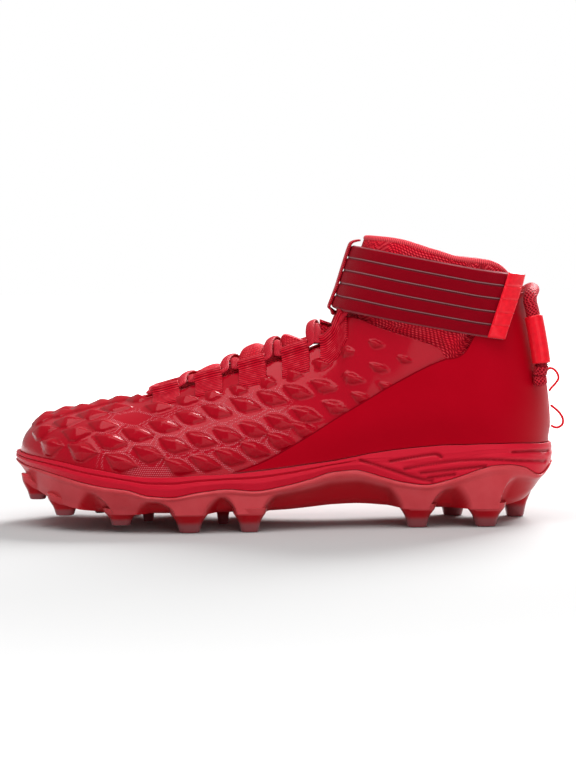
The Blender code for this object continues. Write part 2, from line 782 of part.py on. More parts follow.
def shell_line(x):
    return rise(SHELL_EDGE.read("rise", along(x)))


SLEEVE_ROWS = (-1.0, -0.55, -0.25, 0.0, 0.10, 0.22, 0.36, 0.64, 1.0)
SLEEVE_RELEASE = 0.0040
SLEEVE_EASE_OUT = 0.0060


def sleeve_out(point):
    """The sleeve lies inside the shell, and comes out flush with it above its edge."""
    free = (point.z - shell_line(point.x) - SLEEVE_RELEASE) / SLEEVE_EASE_OUT
    free = min(max(free, 0.0), 1.0)
    return -(UPPER_WALL + SLEEVE_EASE) * (1 - free * free * (3 - 2 * free))


def build_sleeve(parts, material):
    """The knit ankle sleeve, tucked into the shell."""
    columns = []
    for k in range(RING_POINTS):
        angle = 2 * math.pi * k / RING_POINTS
        column = []
        for share in SLEEVE_ROWS:
            def line(x, share=share):
                if share < 0:
                    return shell_line(x) + share * SLEEVE_TUCK
                return shell_line(x) + share * (rim_line(x) - shell_line(x))
            column.append(ring_offset(angle, line, sleeve_out(ring_point(angle, line))))
        columns.append(column)
    mesh = grid_mesh("ankle_sleeve", columns, closed=True)
    sleeve = add_object("ankle_sleeve", mesh, parts, material)
    thicken(sleeve, SLEEVE_WALL)
    return sleeve


def build_rim(parts, material):
    """The rolled binding on the sleeve's top edge."""
    def line(x):
        return rim_line(x) + RIM_SEAT + RIM_DIAMETER / 2
    points = []
    for k in range(RING_POINTS):
        angle = 2 * math.pi * k / RING_POINTS
        out = sleeve_out(ring_point(angle, rim_line)) - SLEEVE_WALL / 2
        points.append(ring_offset(angle, line, out))
    return add_object("collar_rim", poly_curve("collar_rim", points, RIM_DIAMETER, True), parts,
                      material)


TONGUE_FRONT = 0.815
TONGUE_TURNS = 9
TONGUE_BACK = 0.455
TONGUE_PUFF_FRONT = 0.745
TONGUE_PUFF = 0.0018


def tongue_end(turn):
    """Where the tongue meets the sleeve's lower edge, for a turn of the arch."""
    low, high = 0.40, 0.60
    for _ in range(24):
        share = (low + high) / 2
        point = arch_point(at(share), turn)
        if point.z > shell_line(point.x) - SLEEVE_TUCK - TONGUE_WALL:
            low = share
        else:
            high = share
    return at(max(high, TONGUE_BACK))


def build_tongue(parts, material):
    """The padded strip under the laces, inside the shell and up to the sleeve."""
    inside = -(UPPER_WALL + SKIN_GAP)
    columns = []
    for k in range(TONGUE_TURNS):
        across = 2 * k / (TONGUE_TURNS - 1) - 1
        column = []
        for j in range(15):
            t = j / 14
            share = TONGUE_FRONT
            x = at(TONGUE_FRONT) + (at(0.50) - at(TONGUE_FRONT)) * t
            reach = THROAT_HALF_WIDTH + TONGUE_MARGIN
            rate = (arch_point(x, 0.5) - arch_point(x, 0.46)).length / 0.04
            turn = 0.5 - across * min(reach / rate, 0.2)
            end = tongue_end(turn)
            x = at(share) + (end - at(share)) * t
            open_share = min(max((TONGUE_PUFF_FRONT - along(x)) / THROAT_NOSE, 0.0), 1.0)
            puff = max(1 - (across * 1.7) ** 2, 0.0) * open_share
            column.append(arch_offset(x, turn, inside + TONGUE_PUFF * puff))
        columns.append(column)
    tongue = add_object("tongue", grid_mesh("tongue", columns), parts, material)
    thicken(tongue, TONGUE_WALL)
    return tongue


def turn_rate(x, turn):
    """Length of arch per turn."""
    return (arch_point(x, turn + 0.005) - arch_point(x, turn - 0.005)).length / 0.01


def build_lace_loops(parts, material):
    """Webbing loops along both edges of the throat."""
    for number, share in enumerate(LACE_STATIONS, 1):
        for side, name in ((1, "outer"), (-1, "inner")):
            columns = []
            for i in range(4):
                x = at(share) + WEBBING_WIDTH * (i / 3 - 0.5)
                edge = shell_edge_turn(x)
                rate = turn_rate(x, edge)
                column = []
                for j in range(4):
                    reach = WEBBING_REACH - (WEBBING_REACH + WEBBING_LENGTH) * j / 3
                    turn = edge + reach / rate
                    column.append(arch_offset(x, turn if side > 0 else 1.0 - turn, 1.5 * SKIN_GAP))
                columns.append(column)
            if side < 0:
                columns.reverse()
            label = "lace_loop_%s_%d" % (name, number)
            loop = add_object(label, grid_mesh(label, columns), parts, material)
            thicken(loop, WEBBING_THICKNESS, inward=False)


def lace_end(share, side):
    """A lace's place next to a webbing loop's end, over the tongue."""
    x = at(share)
    edge = shell_edge_turn(x)
    reach = WEBBING_REACH + LACE_DIAMETER / 2 + 2 * GAP
    turn = edge + reach / turn_rate(x, edge)
    return x, (turn if side > 0 else 1.0 - turn)


def lace_bar(name, start, end, parts):
    points = []
    for k in range(5):
        t = k / 4
        x = start[0] + (end[0] - start[0]) * t
        turn = start[1] + (end[1] - start[1]) * t
        arch = LACE_ARCH * math.sin(math.pi * t)
        points.append(arch_offset(x, turn, LACE_DIAMETER / 2 + 2 * GAP + arch))
    return curve_to_mesh(name, poly_curve(name, points, LACE_DIAMETER), parts)


def build_laces(parts, cutters, material):
    """Crossing lace bars over the tongue, joined where they cross and where they turn."""
    turns = (LACE_FRONT,) + LACE_STATIONS[1:-1] + (LACE_TOP,)
    ends = [(lace_end(share, 1), lace_end(share, -1)) for share in turns]
    laces = lace_bar("laces", ends[0][0], ends[0][1], parts)
    laces.data.materials.append(material)
    for number in range(len(ends) - 1):
        for side in (0, 1):
            name = "lace_bar_%d_%d" % (number, side)
            bar = lace_bar(name, ends[number][side], ends[number + 1][1 - side], cutters)
            hide_cutter(bar)
            boolean(laces, bar, "UNION")
    bar = lace_bar("lace_bar_top", ends[-1][0], ends[-1][1], cutters)
    hide_cutter(bar)
    boolean(laces, bar, "UNION")
    return laces


def strap_line(height):
    """The height of a line along the strap, 0 at its lower edge and 1 at its upper."""
    def line(x):
        return rise(STRAP_FRONT) + STRAP_SLOPE * (x - front_at(rise(STRAP_FRONT))) \
            + height * STRAP_HEIGHT
    return line


def strap_angle(x, line):
    """The ring angle at which a line of the strap reaches x."""
    low, high = 0.0, math.pi
    for _ in range(24):
        angle = (low + high) / 2
        if ring_point(angle, line).x > x:
            low = angle
        else:
            high = angle
    return low


def strap_sheet(name, start, end, out, rows, count):
    """A band between two slanted ends; start on the outer side, end in front or beyond."""
    columns = []
    for i in range(count):
        t = i / (count - 1)
        column = []
        for j in range(rows + 1):
            height = j / rows
            line = strap_line(height)
            first = start(height, line)
            last = end(height, line)
            column.append(ring_offset(first + (last - first) * t, line, out))
        columns.append(column)
    return grid_mesh(name, list(reversed(columns)))


STRAP_OUT = QUARTER_GAP + QUARTER_WALL + 2 * SKIN_GAP


def build_strap(parts, material, film):
    """The strap from its seam on the inner side round the front to its tab on the outer."""
    def outer_end(height, line):
        share = STRAP_END[0] + (STRAP_END[1] - STRAP_END[0]) * height
        return strap_angle(at(share), line)

    def tab_start(height, line):
        share = STRAP_END[0] + (STRAP_END[1] - STRAP_END[0]) * height
        return strap_angle(at(share) + TAB_LENGTH, line)

    def inner_end(height, line):
        share = STRAP_ANCHOR[0] + (STRAP_ANCHOR[1] - STRAP_ANCHOR[0]) * height
        return -strap_angle(at(share), line)
    mesh = strap_sheet("ankle_strap", outer_end, inner_end, STRAP_OUT, 3, 36)
    strap = add_object("ankle_strap", mesh, parts, material)
    thicken(strap, STRAP_THICKNESS, inward=False)
    out = STRAP_OUT + STRAP_THICKNESS + SKIN_GAP
    mesh = strap_sheet("strap_tab", outer_end, tab_start, out, 3, 4)
    tab = add_object("strap_tab", mesh, parts, film)
    thicken(tab, TAB_THICKNESS, inward=False)
    return strap


def build_keeper(parts, material):
    """The upright band in front of the strap."""
    columns = []
    for across in (-1.0, 0.0, 1.0):
        column = []
        for share, out in KEEPER:
            def line(x, share=share):
                return rise(share)
            half = KEEPER_WIDTH / 2
            front = ring_point(0.0, line)
            low, high = 0.0, 1.2
            for _ in range(20):
                angle = (low + high) / 2
                if ring_point(angle, line).y - front.y > half:
                    high = angle
                else:
                    low = angle
            column.append(ring_offset(across * low, line, out))
        columns.append(column)
    mesh = grid_mesh("strap_keeper", columns)
    keeper = add_object("strap_keeper", mesh, parts, material)
    thicken(keeper, KEEPER_THICKNESS, inward=False)
    return keeper


def pull_point(angle, share, stand_off):
    def line(x):
        return rise(share)
    out = QUARTER_GAP + QUARTER_WALL + SKIN_GAP + PULL_LOOP_DIAMETER / 2 + stand_off
    return ring_offset(angle, line, out)


def build_pull_loop(parts, cord, film):
    """A round pull loop behind the heel, with a smooth tube on each leg."""
    half = [pull_point(math.pi - angle, share, out) for angle, share, out in PULL_LOOP]
    other = [pull_point(math.pi + angle, share, out) for angle, share, out in PULL_LOOP[-2::-1]]
    path = smooth_path(half + other, 2)
    loop = add_object("heel_pull_loop", poly_curve("heel_pull_loop", path, PULL_LOOP_DIAMETER),
                      parts, cord)
    low, high = rise(PULL_SLEEVE[0]), rise(PULL_SLEEVE[1])
    top = len(path) // 2
    for name, leg in (("outer", path[:top]), ("inner", list(reversed(path[top:])))):
        centre = [point for point in leg if low < point.z < high]
        add_tube("pull_loop_tube_%s" % name, centre, parts, film)
    return loop


def add_tube(name, centre, parts, material):
    """A hollow tube round a cord's leg."""
    inner = PULL_LOOP_DIAMETER / 2 + 2 * GAP
    outer = inner + PULL_SLEEVE_WALL
    axis = (centre[-1] - centre[0]).normalized()
    east = axis.orthogonal().normalized()
    north = axis.cross(east)
    columns = []
    for k in range(10):
        turn = 2 * math.pi * k / 10
        way = east * math.cos(turn) + north * math.sin(turn)
        outside = [point + way * outer for point in centre]
        inside = [point + way * inner for point in reversed(centre)]
        columns.append(outside + inside + [outside[0]])
    mesh = grid_mesh(name, columns, closed=True)
    bm = bmesh.new()
    bm.from_mesh(mesh)
    bmesh.ops.recalc_face_normals(bm, faces=bm.faces)
    bm.to_mesh(mesh)
    bm.free()
    return add_object(name, mesh, parts, material)


def build_heel_cords(parts, material):
    """Two thin cord loops that stand out behind the heel's middle."""
    for name, rows in zip(("heel_cord_upper", "heel_cord_lower"), HEEL_CORDS):
        points = []
        for share, reach in rows:
            z = rise(share)
            x = heel_back(z) - QUARTER_WALL - SKIN_GAP - reach
            points.append(Vector((x, centre_at(x, z), z)))
        add_object(name, poly_curve(name, smooth_path(points, 1), HEEL_CORD_DIAMETER), parts,
                   material)


def main():
    for item in list(bpy.data.objects):
        bpy.data.objects.remove(item)
    parts = make_collection(OBJECT_NAME)
    cutters = make_collection("cutters")
    skin = make_material("glossy skin", (0.42, 0.004, 0.012), 0.3)
    satin = make_material("satin quarter", (0.40, 0.003, 0.010), 0.45)
    knit = make_material("bright knit", (0.60, 0.02, 0.04), 0.8)
    web = make_material("woven strap", (0.30, 0.003, 0.008), 0.7)
    film = make_material("bright film", (0.75, 0.02, 0.03), 0.35)
    plate = make_material("clear red plate", (0.45, 0.03, 0.04), 0.2)
    carrier = make_material("midsole carrier", (0.48, 0.01, 0.03), 0.4)
    lining = make_material("insole cloth", (0.3, 0.01, 0.02), 0.8)
    build_stud_plate(parts, cutters, plate)
    build_midsole(parts, cutters, carrier)
    build_insole(parts, lining)
    build_upper(parts, skin)
    build_quarter(parts, satin)
    build_sleeve(parts, knit)
    build_rim(parts, knit)
    build_tongue(parts, knit)
    build_lace_loops(parts, web)
    build_laces(parts, cutters, web)
    build_strap(parts, web, film)
    build_keeper(parts, web)
    build_pull_loop(parts, knit, film)
    build_heel_cords(parts, film)


main()
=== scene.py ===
"""Dresses an american football cleat: a left shoe with an ankle strap.

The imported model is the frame. The form functions repeat the sizes of the solids, in metres, so
that each dressed piece lies where its solid does. +X points to the toe, +Y to the outer side and
+Z up.
"""

import math

import bpy
import numpy as np
from mathutils import Matrix, Vector


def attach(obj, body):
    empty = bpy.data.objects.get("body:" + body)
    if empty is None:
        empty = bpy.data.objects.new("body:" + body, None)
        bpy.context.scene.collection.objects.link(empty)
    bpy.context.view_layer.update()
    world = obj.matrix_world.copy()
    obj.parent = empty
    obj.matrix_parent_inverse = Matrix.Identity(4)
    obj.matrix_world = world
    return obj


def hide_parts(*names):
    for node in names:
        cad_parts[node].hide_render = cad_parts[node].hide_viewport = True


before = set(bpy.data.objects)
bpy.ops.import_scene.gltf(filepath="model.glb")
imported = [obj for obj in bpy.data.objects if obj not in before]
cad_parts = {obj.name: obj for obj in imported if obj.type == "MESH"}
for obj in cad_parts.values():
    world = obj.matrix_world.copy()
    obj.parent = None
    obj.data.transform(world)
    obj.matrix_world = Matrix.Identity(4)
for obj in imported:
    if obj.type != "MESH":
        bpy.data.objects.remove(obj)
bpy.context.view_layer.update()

bl_info = {
    "name": "Football Cleat Dresser",
    "version": (1, 0, 0),
    "blender": (4, 5, 0),
    "location": "View3D > Sidebar > Cleat",
    "description": "Builds the skin, knit, strap, laces and sole of a football cleat",
    "category": "Object",
}

# Driving sizes of the shoe, as in its solids
SOLE_LENGTH = 0.3015
BALL_WIDTH = 0.104
STUD_LENGTH = 0.0105
SOLE_DEPTH = 0.0355
INSTEP_RISE = 0.0995
SHAFT_RISE = 0.0495
HEEL_LOOP_REACH = 0.0062
GAP = 0.0003
SKIN_GAP = 0.0006
QUARTER_GAP = 0.0008
LIP_WALL = 0.0024
UPPER_WALL = 0.0016
QUARTER_WALL = 0.0010
SLEEVE_WALL = 0.0022
TONGUE_WALL = 0.0030
BED_DEPTH = 0.0065
MIDSOLE_LEAST = 0.0022
WEBBING_THICKNESS = 0.0012
WEBBING_WIDTH = 0.0150
STRAP_HEIGHT = 0.0368
STRAP_THICKNESS = 0.0024
TAB_LENGTH = 0.0085
TAB_THICKNESS = 0.0012
KEEPER_WIDTH = 0.0100
KEEPER_THICKNESS = 0.0010
RIM_DIAMETER = 0.0034
RIM_SEAT = 0.0009
PULL_LOOP_DIAMETER = 0.0076
PULL_SLEEVE_WALL = 0.0006
HEEL_CORD_DIAMETER = 0.0014
SIDE_BULGE = 0.0022
BULGE_SPAN = 0.0350
ANKLE_WAIST = 0.0035
WAIST_SPAN = 0.0240
THROAT_HALF_WIDTH = 0.0160
TONGUE_MARGIN = 0.0060
SLEEVE_TUCK = 0.0090
SLEEVE_EASE = 0.0017
SLEEVE_RELEASE = 0.0040
SLEEVE_EASE_OUT = 0.0060
HEEL_X = HEEL_LOOP_REACH - (SOLE_LENGTH + HEEL_LOOP_REACH) / 2
TOE_X = HEEL_X + SOLE_LENGTH
UPPER_INSET = LIP_WALL + GAP
HEEL_ROUND = 0.15
TOE_ROUND = 0.20
TOE_POWER = 0.56
THROAT_FRONT = 0.775
THROAT_NOSE = 0.06
QUARTER_TIP = 0.590
TONGUE_FRONT = 0.815
TONGUE_BACK = 0.455
TONGUE_PUFF_FRONT = 0.745
TONGUE_PUFF = 0.0018
STRAP_OUT = QUARTER_GAP + QUARTER_WALL + 2 * SKIN_GAP
LIP_GROOVE_END = 0.365
# The step in the shell's top edge behind the ankle: its front, its middle and its back
STEP_FRONT = 0.212
STEP_MIDDLE = 0.205
STEP_BACK = 0.203
# The ankle's waist: its height as a share of instep and shaft, its front end and its run-out
WAIST_HEIGHT = 0.66
WAIST_FRONT = 0.47
WAIST_RUN = 0.15
# Steps for finding a normal: along the shoe, round the arch, round the ankle and up
STEP_ALONG = 0.0008
STEP_ROUND = 0.004
STEP_ANGLE = 0.02
STEP_UP = 0.001
LACE_ARCH = 0.0014
# Round ends of a tube: sizes of its last rings, and how far they are pushed out
TUBE_END_SIZES = (0.02, 0.65, 1.00)
TUBE_END_PUSH = (0.00, 0.35, 0.50)
# Side of the midsole: share of the height from the parting to the lip, and inset
MIDSOLE_SIDE = ((0.00, 0.0008), (0.40, 0.0000), (0.60, 0.0004), (0.68, 0.0013), (0.76, 0.0002),
                (1.00, 0.0007))


class Table:
    """Rows with named columns, read by a smooth curve that never overshoots its rows."""

    def __init__(self, columns, rows):
        self.rows = sorted(rows)
        rows = np.array(self.rows, float)
        self.places = rows[:, 0]
        self.values = {}
        self.tangents = {}
        for index, column in enumerate(columns):
            values = rows[:, index]
            slopes = np.diff(values) / np.diff(self.places)
            inner = np.zeros(len(slopes) - 1)
            same = slopes[:-1] * slopes[1:] > 0
            a, b = slopes[:-1][same], slopes[1:][same]
            inner[same] = 2 * a * b / (a + b)
            self.values[column] = values
            self.tangents[column] = np.concatenate((slopes[:1], inner, slopes[-1:]))

    def read(self, column, place):
        place = np.clip(place, self.places[0], self.places[-1])
        i = np.clip(np.searchsorted(self.places, place, "right") - 1, 0, len(self.places) - 2)
        step = self.places[i + 1] - self.places[i]
        t = (place - self.places[i]) / step
        values, tangents = self.values[column], self.tangents[column]
        level = values[i] * (1 + 2 * t) * (1 - t) ** 2 + values[i + 1] * t * t * (3 - 2 * t)
        bend = tangents[i] * t * (1 - t) ** 2 - tangents[i + 1] * t * t * (1 - t)
        return level + step * bend


# Shares of the sole's length along it, from the heel, and of the ball's width
SOLE_PLAN = Table(("along", "half_width", "centre"), (
    (0.00, 0.346, -0.012), (0.17, 0.346, -0.012), (0.25, 0.346, -0.007), (0.33, 0.337, 0.012),
    (0.42, 0.341, 0.036), (0.50, 0.368, 0.053), (0.58, 0.413, 0.056), (0.67, 0.464, 0.039),
    (0.73, 0.490, 0.017), (0.80, 0.494, -0.012), (0.85, 0.494, -0.036), (0.90, 0.494, -0.064),
    (0.95, 0.494, -0.088), (1.00, 0.494, -0.105)))

# Shares of the sole's length, and heights over the plate as shares of the sole's depth
SOLE_HEIGHTS = Table(("along", "under", "parting", "lip"), (
    (0.00, 0.50, 0.67, 0.95), (0.03, 0.25, 0.49, 0.97), (0.06, 0.08, 0.62, 0.99),
    (0.09, 0.02, 0.67, 1.00), (0.11, 0.00, 0.67, 1.00), (0.14, 0.00, 0.62, 1.00),
    (0.17, 0.00, 0.53, 0.99), (0.20, 0.00, 0.45, 0.99), (0.24, 0.00, 0.38, 0.97),
    (0.28, 0.02, 0.42, 0.94), (0.32, 0.05, 0.51, 0.90), (0.345, 0.07, 0.58, 0.87),
    (0.37, 0.08, 0.625, 0.83), (0.41, 0.07, 0.60, 0.77), (0.45, 0.04, 0.50, 0.73),
    (0.50, 0.01, 0.40, 0.68), (0.55, 0.00, 0.34, 0.64), (0.60, 0.00, 0.38, 0.61),
    (0.65, 0.00, 0.34, 0.60), (0.70, 0.00, 0.27, 0.58), (0.74, 0.00, 0.29, 0.58),
    (0.78, 0.00, 0.38, 0.61), (0.82, 0.01, 0.42, 0.67), (0.86, 0.05, 0.48, 0.72),
    (0.90, 0.13, 0.56, 0.78), (0.94, 0.27, 0.63, 0.82), (0.97, 0.42, 0.67, 0.84),
    (1.00, 0.63, 0.73, 0.86)))

# The top line of the last: heights over the plate as shares of the instep and the shaft
RIDGE_LINE = Table(("along", "of_instep", "of_shaft", "power"), (
    (0.000, 1.000, 4.85, 2.0), (0.100, 1.000, 4.00, 2.0), (0.223, 1.000, 2.69, 2.0),
    (0.310, 1.000, 1.53, 2.0), (0.343, 1.000, 1.04, 2.0), (0.353, 1.000, 0.88, 2.0),
    (0.367, 1.000, 0.64, 2.0), (0.383, 1.000, 0.34, 2.0), (0.400, 1.000, 0.11, 1.95),
    (0.425, 1.000, 0.00, 1.90), (0.457, 0.965, 0.00, 1.85), (0.503, 0.910, 0.00, 1.80),
    (0.550, 0.852, 0.00, 1.80), (0.603, 0.786, 0.00, 1.85), (0.643, 0.739, 0.00, 1.90),
    (0.690, 0.683, 0.00, 1.95), (0.740, 0.634, 0.00, 2.00), (0.787, 0.598, 0.00, 2.05),
    (0.823, 0.574, 0.00, 2.10), (0.870, 0.546, 0.00, 2.15), (0.910, 0.518, 0.00, 2.20),
    (0.940, 0.496, 0.00, 2.20), (0.960, 0.466, 0.00, 2.20), (0.975, 0.425, 0.00, 2.20),
    (0.985, 0.377, 0.00, 2.20), (0.991, 0.307, 0.00, 2.20)))

# Sideways lean of the ridge as a share of the ball's width
RIDGE_LEAN = Table(("along", "lean"), (
    (0.00, -0.010), (0.30, -0.010), (0.45, -0.020), (0.60, -0.035), (0.75, -0.060),
    (0.90, -0.090), (1.00, -0.105)))

# The heel's back: height over the plate as a share of instep and shaft, inset of the length
HEEL_BACK = Table(("rise", "inset"), (
    (0.00, 0.0092), (0.24, 0.0130), (0.30, 0.0095), (0.36, 0.0110), (0.44, 0.0155),
    (0.53, 0.0250), (0.61, 0.0360), (0.70, 0.0490), (0.77, 0.0580), (0.83, 0.0635),
    (1.00, 0.0750), (2.50, 0.0950)))

# The shell's top edge behind the throat, heights as shares of instep and shaft
SHELL_EDGE = Table(("along", "rise"), (
    (0.000, 0.785), (0.057, 0.785), (0.087, 0.775), (0.113, 0.745), (0.133, 0.700),
    (0.147, 0.654), (0.156, 0.619), (0.167, 0.581), (0.183, 0.559), (0.203, 0.553),
    (0.212, 0.586), (0.250, 0.619), (0.293, 0.648), (0.323, 0.668), (0.377, 0.706),
    (0.430, 0.690)))

# The quarter's top edge on both sides, in front of the shell's edge
QUARTER_EDGE = Table(("along", "rise"), (
    (0.200, 0.553), (0.210, 0.548), (0.288, 0.474), (0.378, 0.368), (0.469, 0.260),
    (0.538, 0.188), (0.596, 0.148)))

# The collar's rim, height as a share of instep and shaft
COLLAR_RIM = Table(("along", "rise"), (
    (0.000, 0.830), (0.050, 0.833), (0.077, 0.848), (0.087, 0.868), (0.097, 0.888),
    (0.110, 0.905), (0.125, 0.915), (0.155, 0.922), (0.185, 0.930), (0.212, 0.948),
    (0.235, 0.962), (0.277, 0.990), (0.303, 1.000), (0.340, 1.008)))

# Studs: place along and across, tip's height as a share of the sole's depth, and size
STUDS = Table(("along", "across", "tip", "size"), (
    (0.952, 0.205, 0.440, 0.90), (0.950, -0.190, 0.430, 0.90), (0.898, 0.310, 0.230, 1.00),
    (0.890, -0.335, 0.215, 1.00), (0.793, 0.360, 0.107, 1.05), (0.780, -0.385, 0.085, 1.05),
    (0.669, 0.360, 0.000, 1.15), (0.663, -0.365, 0.000, 1.15), (0.561, 0.330, 0.000, 0.98),
    (0.556, -0.300, 0.000, 0.98), (0.843, -0.030, 0.150, 0.55), (0.752, -0.040, 0.020, 0.55),
    (0.612, 0.000, 0.000, 0.55), (0.256, 0.245, 0.000, 1.08), (0.131, 0.240, 0.000, 1.15),
    (0.179, -0.245, 0.000, 1.08), (0.063, -0.180, 0.000, 1.00)))
STUD_BASE = 0.0085
STUD_ROOT = 0.0030
STUD_SQUARE = 3.2
SLOPE_STEP = 0.006
STUD_PROFILE = Table(("down", "wide", "deep"), (
    (0.00, 1.16, 0.98), (0.20, 1.08, 0.94), (0.38, 0.90, 0.84), (0.56, 0.74, 0.71),
    (0.90, 0.60, 0.57), (0.97, 0.56, 0.53), (1.00, 0.47, 0.44)))

# Lace stations along the throat
LACE_STATIONS = (0.713, 0.634, 0.554, 0.475, 0.405)
LACE_FRONT = 0.738
# How far the tongue swells in the windows between the webbing, from the front
WINDOW_PUFF = (0.0030, 0.0036, 0.0055, 0.0078, 0.0060)
# A window's half length in webbing widths, and how much narrower than the tongue the swellings are
WINDOW_SPAN = 0.62
WINDOW_NARROW = 1.45
PUFF_NARROW = 1.7

# The strap's lower edge in front, as a share of instep and shaft, and its fall to the heel
STRAP_FRONT = 0.726
STRAP_BANDS = 5
STRAP_EDGE_DROP = 0.0007
TAB_EDGE = 0.0003
STRAP_SLOPE = 0.185
# Ends of the strap along the shoe, at its lower and its upper edge
STRAP_END = (0.104, 0.074)
STRAP_ANCHOR = (0.150, 0.115)

# Grooves on the midsole's side: height over the plate as a share of the sole's depth
SIDE_GROOVES = (
    ((0.305, 0.75), (0.229, 0.85), (0.213, 0.81)),
    ((0.280, 0.63), (0.207, 0.73), (0.129, 0.765), (0.060, 0.72), (0.018, 0.69)),
    ((0.250, 0.565), (0.188, 0.62), (0.133, 0.665)),
    ((0.237, 0.49), (0.189, 0.54)),
    ((0.360, 0.775), (0.300, 0.61), (0.262, 0.50), (0.229, 0.435)),
    ((0.082, 0.865), (0.040, 0.86), (0.012, 0.84)))
RIB_GROOVE = 0.0011
RIB_GROOVE_RUN = 0.0016

# Cords at the heel's back: height as a share of instep and shaft, and reach behind the heel
HEEL_CORDS = (
    ((0.490, 0.0012), (0.500, 0.0030), (0.501, 0.0052), (0.485, 0.0072), (0.463, 0.0074),
     (0.443, 0.0050), (0.428, 0.0026), (0.417, 0.0012)),
    ((0.362, 0.0012), (0.350, 0.0034), (0.333, 0.0058), (0.312, 0.0074), (0.291, 0.0073),
     (0.279, 0.0052), (0.280, 0.0028), (0.286, 0.0012)))
# Half of the pull loop: angle from the heel's middle in radians, height as above, stand-off
PULL_LOOP = ((0.40, 0.450, -0.0004), (0.40, 0.480, -0.0004), (0.41, 0.520, 0.0020),
             (0.42, 0.620, 0.0024), (0.42, 0.710, 0.0020), (0.40, 0.745, 0.0014),
             (0.32, 0.772, 0.0010), (0.16, 0.786, 0.0010), (0.00, 0.789, 0.0010))
PULL_SLEEVE = (0.525, 0.705)

# The keeper in front of the strap: height share and stand-off from the last
KEEPER = ((0.699, 0.0018), (0.710, 0.0042), (0.722, 0.0062), (0.800, 0.0062), (0.880, 0.0062),
          (0.946, 0.0064), (0.966, 0.0058), (0.978, 0.0036), (0.984, 0.0018))


def along(x):
    return (x - HEEL_X) / SOLE_LENGTH


def at(share):
    return HEEL_X + share * SOLE_LENGTH


def rise(share):
    return STUD_LENGTH + share * (INSTEP_RISE + SHAFT_RISE)


def smooth(value):
    """0 to 1 along a soft step."""
    t = np.clip(value, 0.0, 1.0)
    return t * t * (3 - 2 * t)


def within(value, low, rise_run, high, fall_run):
    """0 outside of two bounds and 1 between them, with soft steps inside of each."""
    return smooth((value - low) / rise_run) * smooth((high - value) / fall_run)


def sole_height(column, x):
    return STUD_LENGTH + SOLE_HEIGHTS.read(column, along(x)) * SOLE_DEPTH


def bed_height(x):
    return np.maximum(sole_height("parting", x) + MIDSOLE_LEAST, sole_height("lip", x) - BED_DEPTH)


def centre_line(x):
    return SOLE_PLAN.read("centre", along(x)) * BALL_WIDTH


def plan_half_width(x, inset, round_heel=True):
    """Half width of the sole's outline, drawn in by an inset."""
    half = SOLE_PLAN.read("half_width", along(x)) * BALL_WIDTH - inset
    t = np.clip((x - at(1 - TOE_ROUND)) / (TOE_ROUND * SOLE_LENGTH - inset), 0.0, 1.0)
    half = half * (1 - t * t) ** TOE_POWER
    if round_heel:
        t = np.clip((at(HEEL_ROUND) - x) / (HEEL_ROUND * SOLE_LENGTH - inset), 0.0, 1.0)
        half = half * np.sqrt(1 - t * t)
    return half


def ridge_height(x):
    instep = RIDGE_LINE.read("of_instep", along(x)) * INSTEP_RISE
    return STUD_LENGTH + instep + RIDGE_LINE.read("of_shaft", along(x)) * SHAFT_RISE


def heel_back(z):
    share = (z - STUD_LENGTH) / (INSTEP_RISE + SHAFT_RISE)
    return HEEL_X + HEEL_BACK.read("inset", share) * SOLE_LENGTH


def half_width(x, z):
    """Half width of the last at a place along the shoe and a height."""
    base = plan_half_width(x, UPPER_INSET, round_heel=False)
    lip = sole_height("lip", x)
    top = ridge_height(x)
    power = RIDGE_LINE.read("power", along(x))
    h = np.clip((z - lip) / np.maximum(top - lip, 1e-6), 0.0, 1.0)
    half = base * (1 - h ** power) ** (1 / power)
    k = np.clip((z - lip) / BULGE_SPAN, 0.0, 1.0)
    half = half + SIDE_BULGE * np.sin(np.pi * k) ** 2 * base / (BALL_WIDTH / 2) * (1 - h)
    waist = np.exp(-((z - rise(WAIST_HEIGHT)) / WAIST_SPAN) ** 2)
    half = half - ANKLE_WAIST * waist * smooth((WAIST_FRONT - along(x)) / WAIST_RUN) * (1 - h)
    reach = np.maximum(at(HEEL_ROUND) - heel_back(z), 1e-6)
    t = np.clip((at(HEEL_ROUND) - x) / reach, 0.0, 1.0)
    return np.maximum(half * np.sqrt(np.maximum(1 - t * t, 0.0)), 0.0)


def centre_at(x, z):
    """The middle of the last at a height, which leans inward toward the ridge."""
    lip = sole_height("lip", x)
    h = np.clip((z - lip) / (ridge_height(x) - lip + 1e-6), 0.0, 1.0)
    return centre_line(x) * (1 - h) + RIDGE_LEAN.read("lean", along(x)) * BALL_WIDTH * h


def arch_point(x, turn):
    """Points of the last: turn runs from 0 at the outer lip over 0.5 at the ridge to 1."""
    x, turn = np.broadcast_arrays(np.asarray(x, float), np.asarray(turn, float))
    lip = sole_height("lip", x)
    z = lip + (ridge_height(x) - lip) * np.sin(np.pi * turn)
    start = at(HEEL_ROUND)
    t = (start - x) / (start - HEEL_X - UPPER_INSET)
    px = np.where(x < start, start - t * (start - heel_back(z)), x)
    side = np.where(turn < 0.5, 1.0, -1.0)
    return np.stack((px, centre_at(px, z) + side * half_width(px, z), z), -1)


def unit(vectors):
    return vectors / np.maximum(np.linalg.norm(vectors, axis=-1, keepdims=True), 1e-12)


def arch_normal(x, turn):
    """Outward normals of the last."""
    x0 = np.maximum(x - STEP_ALONG, HEEL_X + UPPER_INSET)
    x1 = np.minimum(x + STEP_ALONG, TOE_X - UPPER_INSET)
    forward = arch_point(x1, turn) - arch_point(x0, turn)
    ahead, behind = np.minimum(turn + STEP_ROUND, 1), np.maximum(turn - STEP_ROUND, 0)
    around = arch_point(x, ahead) - arch_point(x, behind)
    return unit(-np.cross(forward, around))


def arch_offset(x, turn, out):
    return arch_point(x, turn) + arch_normal(x, turn) * np.asarray(out)[..., None]


